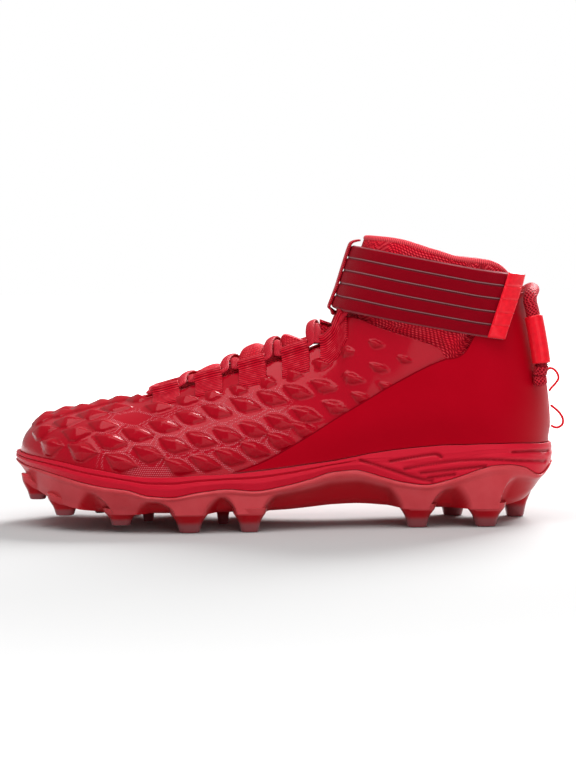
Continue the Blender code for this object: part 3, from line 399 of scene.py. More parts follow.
def edge_turn(x, z):
    lip = sole_height("lip", x)
    return np.arcsin(np.clip((z - lip) / (ridge_height(x) - lip), 0.0, 1.0)) / np.pi


def closed_in(low, high, test, steps=24):
    """Halve the way from low, where the test holds, to high, where it doesn't."""
    for _ in range(steps):
        middle = (low + high) / 2
        holds = test(middle)
        low, high = np.where(holds, middle, low), np.where(holds, high, middle)
    return low, high


def throat_turn(x):
    """The turn at which the arch at x is as wide as the throat."""
    nose = np.clip((THROAT_FRONT - along(x)) / THROAT_NOSE, 0.0, 1.0)
    opening = THROAT_HALF_WIDTH * np.sqrt(1 - (1 - nose) ** 2)
    return closed_in(np.zeros_like(x), np.full_like(x, 0.5),
                     lambda turn: half_width(x, arch_point(x, turn)[..., 2]) > opening)[1]


def shell_line(x):
    return rise(SHELL_EDGE.read("rise", along(x)))


def shell_edge_turn(x):
    x = np.asarray(x, float)
    side = np.minimum(edge_turn(x, shell_line(x)), throat_turn(x))
    return np.where(along(x) >= THROAT_FRONT, 0.5, side)


def rim_line(x):
    return rise(COLLAR_RIM.read("rise", along(x))) - RIM_SEAT - RIM_DIAMETER


RIDGE_SHARES = np.linspace(0.990, 0.0, 400)
RIDGE_Z = ridge_height(at(RIDGE_SHARES))


def ring_point(angle, line):
    """Points of a ring round the ankle: angle 0 in front, positive on the outer side."""
    angle = np.asarray(angle, float)
    z = line(np.full_like(angle, at(0.2)))
    for _ in range(24):
        front, back = at(np.interp(z, RIDGE_Z, RIDGE_SHARES)), heel_back(z)
        x = (front + back) / 2 + (front - back) / 2 * np.cos(angle)
        z = z + (line(x) - z) / 2
    sine = np.sin(angle)
    side = np.where(np.abs(sine) > 1e-9, np.sign(sine), 0.0)
    return np.stack((x, centre_at(x, z) + side * half_width(x, z), z), -1)


def ring_offset(angle, line, out):
    across = ring_point(angle + STEP_ANGLE, line) - ring_point(angle - STEP_ANGLE, line)
    above = ring_point(angle, lambda x: line(x) + STEP_UP)
    up = above - ring_point(angle, lambda x: line(x) - STEP_UP)
    return ring_point(angle, line) + unit(np.cross(across, up)) * np.asarray(out)[..., None]


def ring_angle(x, line):
    """The ring angle at which a line round the ankle reaches x."""
    return closed_in(np.zeros_like(x), np.full_like(x, math.pi),
                     lambda angle: ring_point(angle, line)[..., 0] > x, 30)[0]


def sleeve_out(x, z):
    free = smooth((z - shell_line(x) - SLEEVE_RELEASE) / SLEEVE_EASE_OUT)
    return -(UPPER_WALL + SLEEVE_EASE) * (1 - free)


def strap_line(height):
    """The height of a line along the strap, 0 at its lower edge and 1 at its upper."""
    front = at(np.interp(rise(STRAP_FRONT), RIDGE_Z, RIDGE_SHARES))
    return lambda x: rise(STRAP_FRONT) + STRAP_SLOPE * (x - front) + height * STRAP_HEIGHT


def smooth_path(points, steps):
    """Points on a smooth curve through given points."""
    points = np.array([tuple(point) for point in points])
    ends = np.vstack((points[:1], points, points[-1:]))
    path = []
    for a, b, c, d in zip(ends[:-3], ends[1:-2], ends[2:-1], ends[3:]):
        for t in np.arange(steps) / steps:
            path.append(0.5 * (2 * b + (c - a) * t + (2 * a - 5 * b + 4 * c - d) * t * t
                               + (3 * b - a - 3 * c + d) * t ** 3))
    return np.array(path + [points[-1]])


def travelled(points, axis):
    """Distance along rows or columns of a grid of points, in metres."""
    steps = np.linalg.norm(np.diff(points, axis=axis), axis=-1)
    start = np.zeros_like(np.take(steps, [0], axis=axis))
    return np.cumsum(np.concatenate((start, steps), axis=axis), axis=axis)


def deselect():
    bpy.ops.object.select_all(action="DESELECT")


def activate(piece):
    deselect()
    piece.select_set(True)
    bpy.context.view_layer.objects.active = piece


def modify(piece, kind, **settings):
    """Add a modifier and apply it."""
    activate(piece)
    modifier = piece.modifiers.new(kind.title(), kind)
    for name, value in settings.items():
        setattr(modifier, name, value)
    bpy.ops.object.modifier_apply(modifier=modifier.name)
    return piece


def edit(piece, step):
    """Run an edit-mode step on the whole of a piece."""
    activate(piece)
    bpy.ops.object.mode_set(mode="EDIT")
    bpy.ops.mesh.select_all(action="SELECT")
    step()
    bpy.ops.object.mode_set(mode="OBJECT")


def weld(piece, distance=0.00002):
    edit(piece, lambda: bpy.ops.mesh.remove_doubles(threshold=distance))


def mark(piece, name, values):
    """Keep one number for each point of a piece."""
    layer = piece.data.attributes.get(name) or piece.data.attributes.new(name, "FLOAT", "POINT")
    layer.data.foreach_set("value", np.ascontiguousarray(values, np.float32).reshape(-1))


def marked(piece, name):
    values = np.zeros(len(piece.data.vertices), np.float32)
    piece.data.attributes[name].data.foreach_get("value", values)
    return values


def places(piece, kind="co"):
    """A piece's points, or its normals."""
    values = np.zeros(len(piece.data.vertices) * 3, np.float32)
    piece.data.vertices.foreach_get(kind, values)
    return values.reshape(-1, 3).astype(float)


def put(piece, points):
    piece.data.vertices.foreach_set("co", np.ascontiguousarray(points, np.float32).reshape(-1))
    piece.data.update()


def outward(piece):
    edit(piece, lambda: bpy.ops.mesh.normals_make_consistent(inside=False))


def joined(pieces):
    activate(pieces[0])
    for piece in pieces:
        piece.select_set(True)
    bpy.ops.object.join()
    return pieces[0]


def add_sheet(name, points, chart=None, **marks):
    """A grid primitive laid over rows of points; its UV map holds millimetres on the surface."""
    deselect()
    rows, columns = points.shape[:2]
    bpy.ops.mesh.primitive_grid_add(x_subdivisions=columns - 1, y_subdivisions=rows - 1, size=1.0)
    piece = bpy.context.object
    piece.name = piece.data.name = name
    put(piece, points)
    if chart is None:
        chart = np.stack((travelled(points, 1), travelled(points, 0)), -1)
    corner = np.zeros(len(piece.data.loops), np.int32)
    piece.data.loops.foreach_get("vertex_index", corner)
    flat = (chart.reshape(-1, 2) * 1000)[corner].astype(np.float32)
    piece.data.uv_layers[0].data.foreach_set("uv", flat.reshape(-1))
    for mark_name, values in marks.items():
        mark(piece, mark_name, values)
    piece.data.shade_smooth()
    return piece


def round_edges(piece, width, angle=60):
    modify(piece, "BEVEL", width=width, segments=2, limit_method="ANGLE",
           angle_limit=math.radians(angle))
    piece.data.shade_smooth()
    return piece


def thicken(piece, wall, edge=0.0, angle=50):
    """Give a sheet its wall, inward, and round the wall's edges."""
    modify(piece, "SOLIDIFY", thickness=wall, offset=-1.0)
    piece.data.shade_smooth()
    return round_edges(piece, edge, angle) if edge > 0 else piece


def add_tube(name, path, radius, sides=16, flat=1.0, up=(0.0, 0.0, 1.0), hollow=0.0, closed=False):
    """A tube along a path: with round ends, or open and hollow, or closed to a ring."""
    path = np.asarray(path, float)
    forward = unit(np.gradient(path, axis=0))
    if closed:
        forward[[0, -1]] = unit(path[1] - path[-2])
    side = unit(np.cross(forward, np.asarray(up)))
    over = np.cross(side, forward)
    turn = np.linspace(0, 2 * math.pi, sides + 1)
    size, stations, base = np.full(len(path), radius), np.arange(len(path)), path
    if not hollow and not closed:
        stations = np.concatenate(([0, 0, 0], stations[1:-1], [len(path) - 1] * 3))
        size, push = size[stations], np.zeros(len(stations))
        size[:3] = np.array(TUBE_END_SIZES) * radius
        size[-3:] = size[:3][::-1]
        push[-3:] = np.array(TUBE_END_PUSH) * radius
        push[:3] = -push[-3:][::-1]
        base = path[stations] + forward[stations] * push[:, None]
    rings = (base[:, None] + size[:, None, None]
             * (side[stations][:, None] * np.cos(turn)[None, :, None]
                + over[stations][:, None] * np.sin(turn)[None, :, None] * flat))
    length = travelled(base, 0)
    chart = np.stack(np.broadcast_arrays(length[:, None], turn[None] * radius), -1)
    piece = add_sheet(name, rings, chart)
    weld(piece)
    outward(piece)
    return thicken(piece, hollow) if hollow else piece


def dress(piece, material, slot, *nodes):
    """Give a finished piece its material, and let it stand for its solids."""
    piece.data.materials.clear()
    piece.data.materials.append(material)
    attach(piece, "root")
    if nodes:
        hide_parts(*nodes)
    deselect()
    return piece


class Finish:
    """A material in the making: its nodes, its shader, and its place on the surface."""

    def __init__(self, name, colour, roughness, space="UV"):
        self.material = bpy.data.materials.new(name)
        self.material.use_nodes = True
        self.tree = self.material.node_tree
        self.shader = self.tree.nodes["Principled BSDF"]
        self.set("Base Color", (*colour, 1.0))
        self.set("Roughness", roughness)
        self.space = self.tree.nodes.new("ShaderNodeTexCoord").outputs[space]
        self.height = None

    def set(self, socket, value):
        self.shader.inputs[socket].default_value = value

    def shine(self, level):
        """Reflections that are red face on and white at grazing angles."""
        self.set("Specular IOR Level", level)
        self.set("Specular Tint", (1.0, 0.05, 0.09, 1.0))

    def nap(self, weight):
        """A soft red bloom at grazing angles."""
        self.set("Sheen Weight", weight)
        self.set("Sheen Roughness", 0.5)
        self.set("Sheen Tint", (0.9, 0.06, 0.10, 1.0))

    def coat(self, weight, roughness):
        self.set("Coat Weight", weight)
        self.set("Coat Roughness", roughness)

    def yarn(self):
        """The soft light on every woven or knitted piece."""
        self.nap(0.15)
        self.shine(0.25)
        return self.material

    def add(self, kind, settings=(), **values):
        node = self.tree.nodes.new("ShaderNode" + kind)
        for name, value in dict(settings).items():
            setattr(node, name, value)
        for name, value in values.items():
            numbered = name[0] == "i" and name[1:].isdigit()
            self.feed(value, node.inputs[int(name[1:]) if numbered else name.replace("_", " ")])
        return node

    def feed(self, value, socket):
        if isinstance(value, bpy.types.NodeSocket):
            self.tree.links.new(value, socket)
        else:
            socket.default_value = value

    def maths(self, operation, a, b=0.0, c=0.0):
        return self.add("Math", {"operation": operation}, i0=a, i1=b, i2=c).outputs[0]

    def times(self, a, b):
        return self.maths("MULTIPLY", a, b)

    def rest(self, value):
        """What a share leaves of 1."""
        return self.maths("SUBTRACT", 1.0, value)

    def step(self, value, low, high):
        return self.add("MapRange", {"interpolation_type": "SMOOTHSTEP"}, i0=value,
                        From_Min=low, From_Max=high).outputs[0]

    def between(self, value, start, full, fade, end):
        """1 from full to fade, 0 before start and past end."""
        return self.times(self.step(value, start, full), self.rest(self.step(value, fade, end)))

    def near(self, value, middle, low, high):
        """1 closer than low to the middle, 0 further than high."""
        apart = self.maths("ABSOLUTE", self.maths("SUBTRACT", value, middle))
        return self.rest(self.step(apart, low, high))

    def axes(self):
        return self.add("SeparateXYZ", i0=self.space).outputs

    def wave(self, place, pitch):
        return self.maths("SINE", self.times(place, 2 * math.pi / pitch))

    def strands(self, pitch, slant, low, high):
        """Two families of slanted strands, one over the other."""
        u, v = self.axes()[:2]
        waves = [self.wave(self.maths("MULTIPLY_ADD", v, lean, u), pitch)
                 for lean in (slant, -slant)]
        return self.step(self.maths("MAXIMUM", *waves), low, high)

    def attribute(self, name):
        return self.add("Attribute", {"attribute_name": name}).outputs["Fac"]

    def noise(self, scale, detail=2.0):
        place = self.add("Mapping", Vector=self.space, Scale=(scale,) * 3).outputs[0]
        return self.add("TexNoise", Vector=place, Scale=1.0, Detail=detail).outputs[0]

    def dots(self, pitch_u, pitch_v):
        """Distance from the nearest of a lattice of dots, each row shifted by half a pitch."""
        place = self.axes()
        v = self.times(place[1], 1.0 / pitch_v)
        u = self.times(place[0], 1.0 / pitch_u)
        lattice = self.add("CombineXYZ", i0=self.maths("MULTIPLY_ADD", v, 0.5, u), i1=v).outputs[0]
        return self.add("TexVoronoi", {"voronoi_dimensions": "2D"}, Vector=lattice, Scale=1.0,
                        Randomness=0.0).outputs["Distance"]

    def mix(self, a, b, share):
        node = self.add("Mix", {"data_type": "RGBA"}, i0=share)
        for colour, socket in ((a, node.inputs[6]), (b, node.inputs[7])):
            plain = not isinstance(colour, bpy.types.NodeSocket)
            self.feed((*colour, 1.0) if plain else colour, socket)
        return node.outputs[2]

    def colour(self, socket):
        self.feed(socket, self.shader.inputs["Base Color"])

    def raise_by(self, height, distance, strength=1.0):
        """Add relief, in metres, on top of any relief before it."""
        bump = self.add("Bump", Strength=strength, Distance=distance, Height=height)
        if self.height is not None:
            self.feed(self.height, bump.inputs["Normal"])
        self.height = bump.outputs[0]
        self.feed(self.height, self.shader.inputs["Normal"])

    def grain(self, scale, distance, strength=0.5, detail=2.0):
        self.raise_by(self.noise(scale, detail), distance, strength)


# The reds of the shoe, in linear colour: name, use, and value
REDS = (
    ("skin", "Glossy skin of the forefoot", (0.40, 0.001, 0.011)),
    ("gap", "Skin between the raised lumps", (0.43, 0.002, 0.014)),
    # Next: painted shade round the foot of each raised lump, standing in for its contact shadow
    ("lump_rim", "Shaded foot of a lump", (0.20, 0.0, 0.003)),
    ("skin_cloud", "Darker parts of the skin", (0.30, 0.0, 0.006)),
    ("stitch", "Dotted lines between the lumps", (0.62, 0.12, 0.15)),
    ("quarter", "Satin panel round the heel", (0.40, 0.0005, 0.009)),
    ("quarter_cloud", "Darker parts of the panel", (0.34, 0.0, 0.006)),
    # Next: painted shade along the heel panel's top edge
    ("quarter_line", "Line along the panel's edge", (0.10, 0.0, 0.002)),
    ("knit", "Yarn of the sleeve and the tongue", (0.95, 0.026, 0.048)),
    ("knit_light", "Lighter yarn", (0.98, 0.090, 0.115)),
    ("knit_shade", "Between the yarns", (0.42, 0.002, 0.014)),
    ("rim", "Ribs of the collar's rim", (0.92, 0.060, 0.085)),
    ("rim_shade", "Between the rim's ribs", (0.52, 0.004, 0.016)),
    ("webbing", "Webbing loops and keeper", (0.55, 0.006, 0.020)),
    ("webbing_light", "Lighter webbing and cord", (0.72, 0.05, 0.07)),
    ("webbing_shade", "Between the webbing's ribs", (0.26, 0.001, 0.008)),
    ("lace", "Strands of the lace", (0.62, 0.02, 0.04)),
    ("lace_shade", "Between the lace's strands", (0.28, 0.001, 0.008)),
    ("strap", "Woven ankle strap", (0.33, 0.001, 0.010)),
    ("strap_shade", "Between the strap's threads", (0.17, 0.0, 0.004)),
    ("strap_cloud", "Darker parts of the strap", (0.18, 0.0, 0.005)),
    ("strap_light", "Light thread between bands", (0.33, 0.21, 0.22)),
    ("strap_dark", "Dark thread between bands", (0.06, 0.016, 0.020)),
    ("strap_edge", "Light thread along the edges", (0.42, 0.18, 0.20)),
    ("film", "Welded tab and tubes", (0.93, 0.012, 0.026)),
    ("film_cloud", "Darker parts of the film", (0.60, 0.004, 0.014)),
    ("cord", "Strands of the pull loop", (0.52, 0.006, 0.020)),
    ("cord_shade", "Between the cord's strands", (0.20, 0.0, 0.005)),
    ("carrier", "Satin sole carrier", (0.60, 0.010, 0.030)),
    ("carrier_cloud", "Darker parts of the carrier", (0.54, 0.007, 0.024)),
    # Next: painted shade inside the carrier's grooves
    ("carrier_groove", "Grooves of the carrier", (0.16, 0.0, 0.004)),
    ("frost", "Frosted plate over the studs", (0.54, 0.060, 0.070)),
    ("plate", "Red plate between the studs", (0.38, 0.001, 0.006)),
    ("stud_tip", "Clear ends of the studs", (0.24, 0.045, 0.052)),
    ("insole", "Insole's cloth", (0.10, 0.003, 0.006)),
    ("insole_light", "Lighter thread of the insole", (0.20, 0.008, 0.014)))

# The photo's width and the camera's focal length, in pixels, and its roll, in degrees
PHOTO_WIDTH = 576
CAMERA_FOCAL_PX = 2330.1
CAMERA_ROLL = -0.45
# The floor's size and grey, and how far from the shoe it starts to glow and glows in full
FLOOR_SIZE = 9.0
FLOOR_GREY = 0.52
FLOOR_GLOW = (0.25, 1.10)

# Sizes that only the dressed shoe has, the camera's and the lights': name, use, unit and value
MEASURES = (
    ("lump_long", "Half length of a raised lump", "DISTANCE", 0.0101),
    ("lump_wide", "Half width of a raised lump", "DISTANCE", 0.0044),
    ("lump_high", "Height of a raised lump", "DISTANCE", 0.0030),
    ("band_groove", "Depth between the strap's bands", "DISTANCE", 0.0006),
    ("lace_width", "Half width of the flat lace", "DISTANCE", 0.0027),
    ("camera_reach", "Camera's distance from the shoe's middle", "DISTANCE", 1.300),
    ("camera_height", "Camera over the floor", "DISTANCE", 0.165),
    ("camera_aim", "Height that the camera looks at", "DISTANCE", 0.0776),
    ("key_power", "Overhead soft light", "POWER", 15.8),
    ("fill_power", "Soft light by the camera", "POWER", 5.0),
    ("back_power", "Soft light behind the shoe", "POWER", 48.0),
    ("sky", "Strength of the pale surround", "FACTOR", 0.34))


def label(name):
    return name.replace("_", " ").capitalize()


class CleatColours(bpy.types.PropertyGroup):
    """The reds of the shoe."""

    __annotations__ = {name: bpy.props.FloatVectorProperty(
        name=label(name), description=use, subtype="COLOR", size=3, min=0.0, max=1.0,
        default=value) for name, use, value in REDS}


class CleatSizes(bpy.types.PropertyGroup):
    """Sizes that only the dressed shoe has, and the stage."""

    __annotations__ = {name: bpy.props.FloatProperty(
        name=label(name), description=use, subtype=unit, min=0.0, precision=5,
        default=value) for name, use, unit, value in MEASURES}


def colours():
    return bpy.context.scene.cleat_colours


def sizes():
    return bpy.context.scene.cleat_sizes


class CleatPiece:
    """What each operator of the shoe shares: it can be undone from the panel."""

    bl_options = {"REGISTER", "UNDO"}


# Raised lumps, a row at a time from the top: first and last place as shares of the sole's length,
# how many, which are left out, and heights over the lip along the skin, in metres
LUMP_ROWS = (
    (0.944, 0.805, 5, (), ((0.805, 0.0640), (0.845, 0.0605), (0.878, 0.0510), (0.911, 0.0407),
                           (0.944, 0.0303))),
    (0.940, 0.762, 5, (), ((0.762, 0.0605), (0.788, 0.0530), (0.854, 0.0391), (0.894, 0.0288),
                           (0.940, 0.0157))),
    (0.924, 0.332, 13, (3,), ((0.332, 0.0592), (0.392, 0.0590), (0.441, 0.0542), (0.540, 0.0508),
                              (0.636, 0.0485), (0.693, 0.0482), (0.742, 0.0436), (0.835, 0.0270),
                              (0.881, 0.0180), (0.924, 0.0070))),
    (0.861, 0.279, 13, (), ((0.279, 0.0485), (0.372, 0.0437), (0.478, 0.0409), (0.577, 0.0389),
                            (0.676, 0.0341), (0.769, 0.0240), (0.861, 0.0084))),
    (0.792, 0.312, 11, (), ((0.312, 0.0348), (0.405, 0.0292), (0.504, 0.0249), (0.603, 0.0215),
                            (0.702, 0.0167), (0.792, 0.0060))),
    (0.686, 0.461, 6, (), ((0.461, 0.0185), (0.540, 0.0123), (0.633, 0.0067), (0.686, 0.0051))))
LUMP_SIZES = Table(("along", "size", "upper_row", "wide"), (
    (0.28, 0.50, 0.50, 0.46), (0.33, 0.60, 0.50, 0.55), (0.37, 0.72, 0.55, 0.66),
    (0.43, 0.90, 0.58, 0.82), (0.50, 1.00, 0.62, 0.92), (0.64, 1.00, 0.66, 0.96),
    (0.69, 1.02, 0.96, 1.00), (0.80, 1.08, 1.04, 1.14), (0.87, 1.08, 1.06, 1.24),
    (0.94, 1.00, 0.98, 1.24)))
# Form of a lump: tilt, bluntness of its ends, its peak's place, share of the width that slopes,
# and the share of its height that rises at its rim, over a share of its width
LUMP_TILT = math.radians(21)
LUMP_BLUNT = 0.78
LUMP_APEX = 0.34
LUMP_SLOPE = 0.90
LUMP_STEP = 0.22
LUMP_RIM = 0.14
# Least distance of a lump from the skin's edge, and how far a lump is felt, in metres
LUMP_MARGIN = 0.006
LUMP_REACH = 0.030
# A small lump's share of the full height, however small it is
LUMP_LEAST = 0.35
# How the lumps fade out toward the skin's top edge and its foot, in metres, and how fast the top
# edge's fade ends in front of the throat
LUMP_FADE_TOP = 0.004
LUMP_FADE_FOOT = 0.003
THROAT_FADE = 60
# Where the dotted lines run, and the dotted patch over the lip: low bound, its soft step, high
# bound, its soft step, as shares of the sole's length and in metres over the lip
DOTTED_ALONG = (0.47, 0.04, 0.845, 0.03)
DOTTED_UP = (0.0, 0.002, 0.050, 0.006)
PATCH_ALONG = (0.69, 0.015, 0.79, 0.02)
PATCH_UP = (-1.0, 0.002, 0.0065, 0.002)


def eased(start, end, count, ease="none"):
    t = np.linspace(0, 1, count)
    if ease == "start":
        t = 1 - np.cos(math.pi * t / 2)
    elif ease == "end":
        t = np.sin(math.pi * t / 2)
    return start + (end - start) * t


def shell_stations():
    nose = at(THROAT_FRONT - THROAT_NOSE)
    parts = (eased(TOE_X - UPPER_INSET, at(0.93), 26, "start"),
             eased(at(0.93), at(THROAT_FRONT), 40)[1:],
             eased(at(THROAT_FRONT), nose, 18, "start")[1:],
             eased(nose, at(STEP_FRONT), 128)[1:],
             eased(at(STEP_MIDDLE), at(HEEL_ROUND), 5),
             eased(at(HEEL_ROUND), HEEL_X + UPPER_INSET, 22, "end")[1:])
    return np.concatenate(parts)


def shell_side(side, rows=80):
    """Points of one side of the shell, and their height over the lip along the skin."""
    x = shell_stations()
    share = np.linspace(0, 1, rows + 1)[:, None]
    turn = shell_edge_turn(x)[None] * share
    points = arch_point(x[None], turn if side > 0 else 1 - turn)
    foot = points[:1].copy()
    foot[..., 2] = bed_height(x) + GAP
    up = np.vstack((np.full((1, len(x)), -0.004), travelled(points, 0)))
    return x, np.concatenate((foot, points)), up


def lump_fields(side, x, points, up):
    """Height of the lumps, and how near each point is to the line between two lumps."""
    s = sizes()
    height = np.zeros(up.shape)
    first, second = np.full(up.shape, 9.0), np.full(up.shape, 9.0)
    across = unit(np.gradient(points, axis=0))
    ahead = unit(-np.gradient(points, axis=1))
    for row, (start, end, count, missing, line) in enumerate(LUMP_ROWS):
        course = Table(("along", "up"), line)
        for number, share in enumerate(np.linspace(start, end, count)):
            column = int(np.argmin(np.abs(x - at(share))))
            over = float(course.read("up", share))
            if over > up[-1, column] - LUMP_MARGIN:
                if side < 0 or row > 1:
                    continue
                over = min(over, up[-1, column])
            j = int(np.argmin(np.abs(up[1:, column] - over))) + 1
            centre, rise_way, toe_way = points[j, column], across[j, column], ahead[j, column]
            toe_way = unit(toe_way - rise_way * float(toe_way @ rise_way))
            long_way = toe_way * math.cos(LUMP_TILT) + rise_way * math.sin(LUMP_TILT)
            wide_way = rise_way * math.cos(LUMP_TILT) - toe_way * math.sin(LUMP_TILT)
            size = float(LUMP_SIZES.read("upper_row" if row == 2 else "size", share))
            offset = points - centre
            u = np.abs(offset @ long_way) / (s.lump_long * size)
            v = offset @ wide_way / (s.lump_wide * float(LUMP_SIZES.read("wide", share)))
            far = np.linalg.norm(offset, axis=-1) > LUMP_REACH
            apart = np.where(far, 9.0, np.hypot(u, v))
            second = np.minimum(second, np.maximum(first, apart))
            first = np.minimum(first, apart)
            if number in missing:
                continue
            v = np.where(v > LUMP_APEX, (v - LUMP_APEX) / (1 - LUMP_APEX),
                         (LUMP_APEX - v) / (1 + LUMP_APEX))
            inside = 1 - np.maximum(v, u + LUMP_BLUNT * v)
            inside = np.where(far, 0.0, np.clip(inside, 0, 1))
            form = (LUMP_STEP * np.clip(inside / LUMP_RIM, 0, 1)
                    + (1 - LUMP_STEP) * np.clip(inside / LUMP_SLOPE, 0, 1))
            high = s.lump_high * (LUMP_LEAST + (1 - LUMP_LEAST) * size)
            height = np.maximum(height, form * high)
    return height, np.clip(second - first, 0, 3)


def build_shell():
    """The glossy skin with its raised lumps, from toe to heel."""
    sides = []
    for side in (1, -1):
        x, points, up = shell_side(side)
        height, seam = lump_fields(side, x, points, up)
        height[:1] = 0
        share = along(x)[None]
        closed = smooth(0.5 - (THROAT_FRONT - share) * THROAT_FADE)
        margin = smooth((up[-1:] - up) / LUMP_FADE_TOP) + closed
        height = height * np.clip(margin, 0, 1) * smooth(up / LUMP_FADE_FOOT)
        dotted = within(share, *DOTTED_ALONG) * within(up, *DOTTED_UP)
        patch = within(share, *PATCH_ALONG) * within(up, *PATCH_UP)
        chart = np.stack((np.broadcast_to(x[None], up.shape), up), -1)
        marks = {"lump": height, "seam": seam, "dotted": dotted, "patch": patch}
        if side < 0:
            points, chart = points[:, ::-1], chart[:, ::-1]
            marks = {name: value[:, ::-1] for name, value in marks.items()}
        sides.append(add_sheet("shoe_skin", points, chart, **marks))
    shell = joined(sides)
    weld(shell)
    count = len(shell.data.vertices)
    out = places(shell, "normal")
    thicken(shell, UPPER_WALL)
    points = places(shell)
    points[:count] += out * marked(shell, "lump")[:count, None]
    put(shell, points)
    shell.data.shade_smooth()
    return shell


def skin_finish():
    c = colours()
    finish = Finish("glossy skin", c.skin, 0.26)
    height = finish.attribute("lump")
    lump = finish.step(height, 0.0, 0.0011)
    # A band round each lump's foot is darkened with painted shade, for the shadow at its edge
    rim = finish.between(height, 0.0001, 0.0005, 0.0007, 0.0013)
    base = finish.mix(finish.mix(c.gap, c.skin, lump), c.lump_rim, finish.times(rim, 0.40))
    base = finish.mix(base, c.skin_cloud, finish.times(finish.noise(0.05), 0.45))
    line = finish.near(finish.attribute("seam"), 0.22, 0.06, 0.13)
    line = finish.times(line, finish.attribute("dotted"))
    line = finish.maths("MAXIMUM", line, finish.attribute("patch"))
    line = finish.times(line, finish.rest(lump))
    dot = finish.times(finish.rest(finish.step(finish.dots(1.15, 1.05), 0.22, 0.42)), line)
    finish.colour(finish.mix(base, c.stitch, dot))
    finish.raise_by(dot, 0.0003, 0.7)
    finish.grain(1.6, 0.00003)
    finish.shine(0.30)
    finish.coat(0.26, 0.07)
    return finish.material


class CLEAT_OT_skin(CleatPiece, bpy.types.Operator):
    """Build the glossy skin with its raised lumps"""

    bl_idname = "cleat.skin"
    bl_label = "Skin"

    def execute(self, context):
        dress(build_shell(), skin_finish(), "glossy_skin", "upper")
        return {"FINISHED"}


def quarter_edge(x):
    share = along(x)
    return np.where(share < STEP_MIDDLE, shell_line(x), rise(QUARTER_EDGE.read("rise", share)))


def build_quarter():
    """The smooth panel round the heel."""
    x = np.concatenate((eased(at(QUARTER_TIP), at(STEP_FRONT), 90),
                        eased(at(STEP_BACK), at(HEEL_ROUND), 10),
                        eased(at(HEEL_ROUND), HEEL_X + UPPER_INSET, 40, "end")[1:]))
    share = np.linspace(0, 1, 41)[:, None]
    foot = edge_turn(x, sole_height("lip", x) + 2 * GAP)[None]
    turn = foot + (edge_turn(x, quarter_edge(x))[None] - foot) * share
    out = np.full(turn.shape, QUARTER_GAP + QUARTER_WALL)
    outer, inner = arch_offset(x[None], turn, out), arch_offset(x[None], 1 - turn, out)
    back = (outer[:, -1:] + inner[:, -1:]) / 2
    points = np.concatenate((outer[:, :-1], back, inner[:, -2::-1]), axis=1)
    quarter = add_sheet("heel_panel", points)
    from_top = travelled(points[::-1], 0)[::-1]
    mark(quarter, "from_top", from_top * 1000)
    return thicken(quarter, QUARTER_WALL, edge=0.0004)


def quarter_finish():
    c = colours()
    finish = Finish("satin quarter", c.quarter, 0.42)
    base = finish.mix(c.quarter, c.quarter_cloud, finish.noise(0.03))
    # The dark line just under the top edge is painted shade where the panel's edge stands over the
    # skin
    line = finish.near(finish.attribute("from_top"), 0.5, 0.25, 0.55)
    finish.colour(finish.mix(base, c.quarter_line, finish.times(line, 0.7)))
    finish.grain(2.6, 0.00004, 0.6, 3.0)
    finish.shine(0.30)
    return finish.material


class CLEAT_OT_quarter(CleatPiece, bpy.types.Operator):
    """Build the satin panel round the heel"""

    bl_idname = "cleat.quarter"
    bl_label = "Heel quarter"

    def execute(self, context):
        dress(build_quarter(), quarter_finish(), "satin_quarter", "heel_quarter")
        return {"FINISHED"}


def sleeve_line(share):
    """A line round the sleeve: -1 at its lower edge, 0 at the shell's edge, 1 in the rim."""
    if share < 0:
        return lambda x: shell_line(x) + share * SLEEVE_TUCK
    return lambda x: shell_line(x) + share * (rim_line(x) + RIM_SEAT + 0.3 * RIM_DIAMETER
                                              - shell_line(x))


def build_sleeve():
    angle = np.linspace(0, 2 * math.pi, 201)
    rows = []
    for share in np.concatenate((np.linspace(-1, 0, 9), np.linspace(0, 1, 44)[1:])):
        base = ring_point(angle, sleeve_line(share))
        out = sleeve_out(base[..., 0], base[..., 2])
        rows.append(ring_offset(angle, sleeve_line(share), out))
    points = np.array(rows)
    around = np.broadcast_to(travelled(points, 1)[-1], points.shape[:2])
    chart = np.stack((around, travelled(points, 0)), -1)
    sleeve = add_sheet("knit_sleeve", points, chart)
    weld(sleeve)
    return thicken(sleeve, SLEEVE_WALL)


def build_rim():
    """The rolled binding on the collar's edge."""
    angle = np.linspace(0, 2 * math.pi, 241)
    base = ring_point(angle, rim_line)
    out = sleeve_out(base[..., 0], base[..., 2]) - SLEEVE_WALL / 2
    path = ring_offset(angle, lambda x: rim_line(x) + RIM_SEAT + RIM_DIAMETER / 2, out)
    return add_tube("rolled_rim", path, RIM_DIAMETER / 2, closed=True)


def tongue_end(turn):
    """Where the tongue meets the sleeve's lower edge, for turns of the arch."""
    def above(share):
        point = arch_point(at(share), turn)
        return point[..., 2] > shell_line(point[..., 0]) - SLEEVE_TUCK - TONGUE_WALL
    high = closed_in(np.full_like(turn, 0.40), np.full_like(turn, 0.60), above)[1]
    return at(np.maximum(high, TONGUE_BACK))


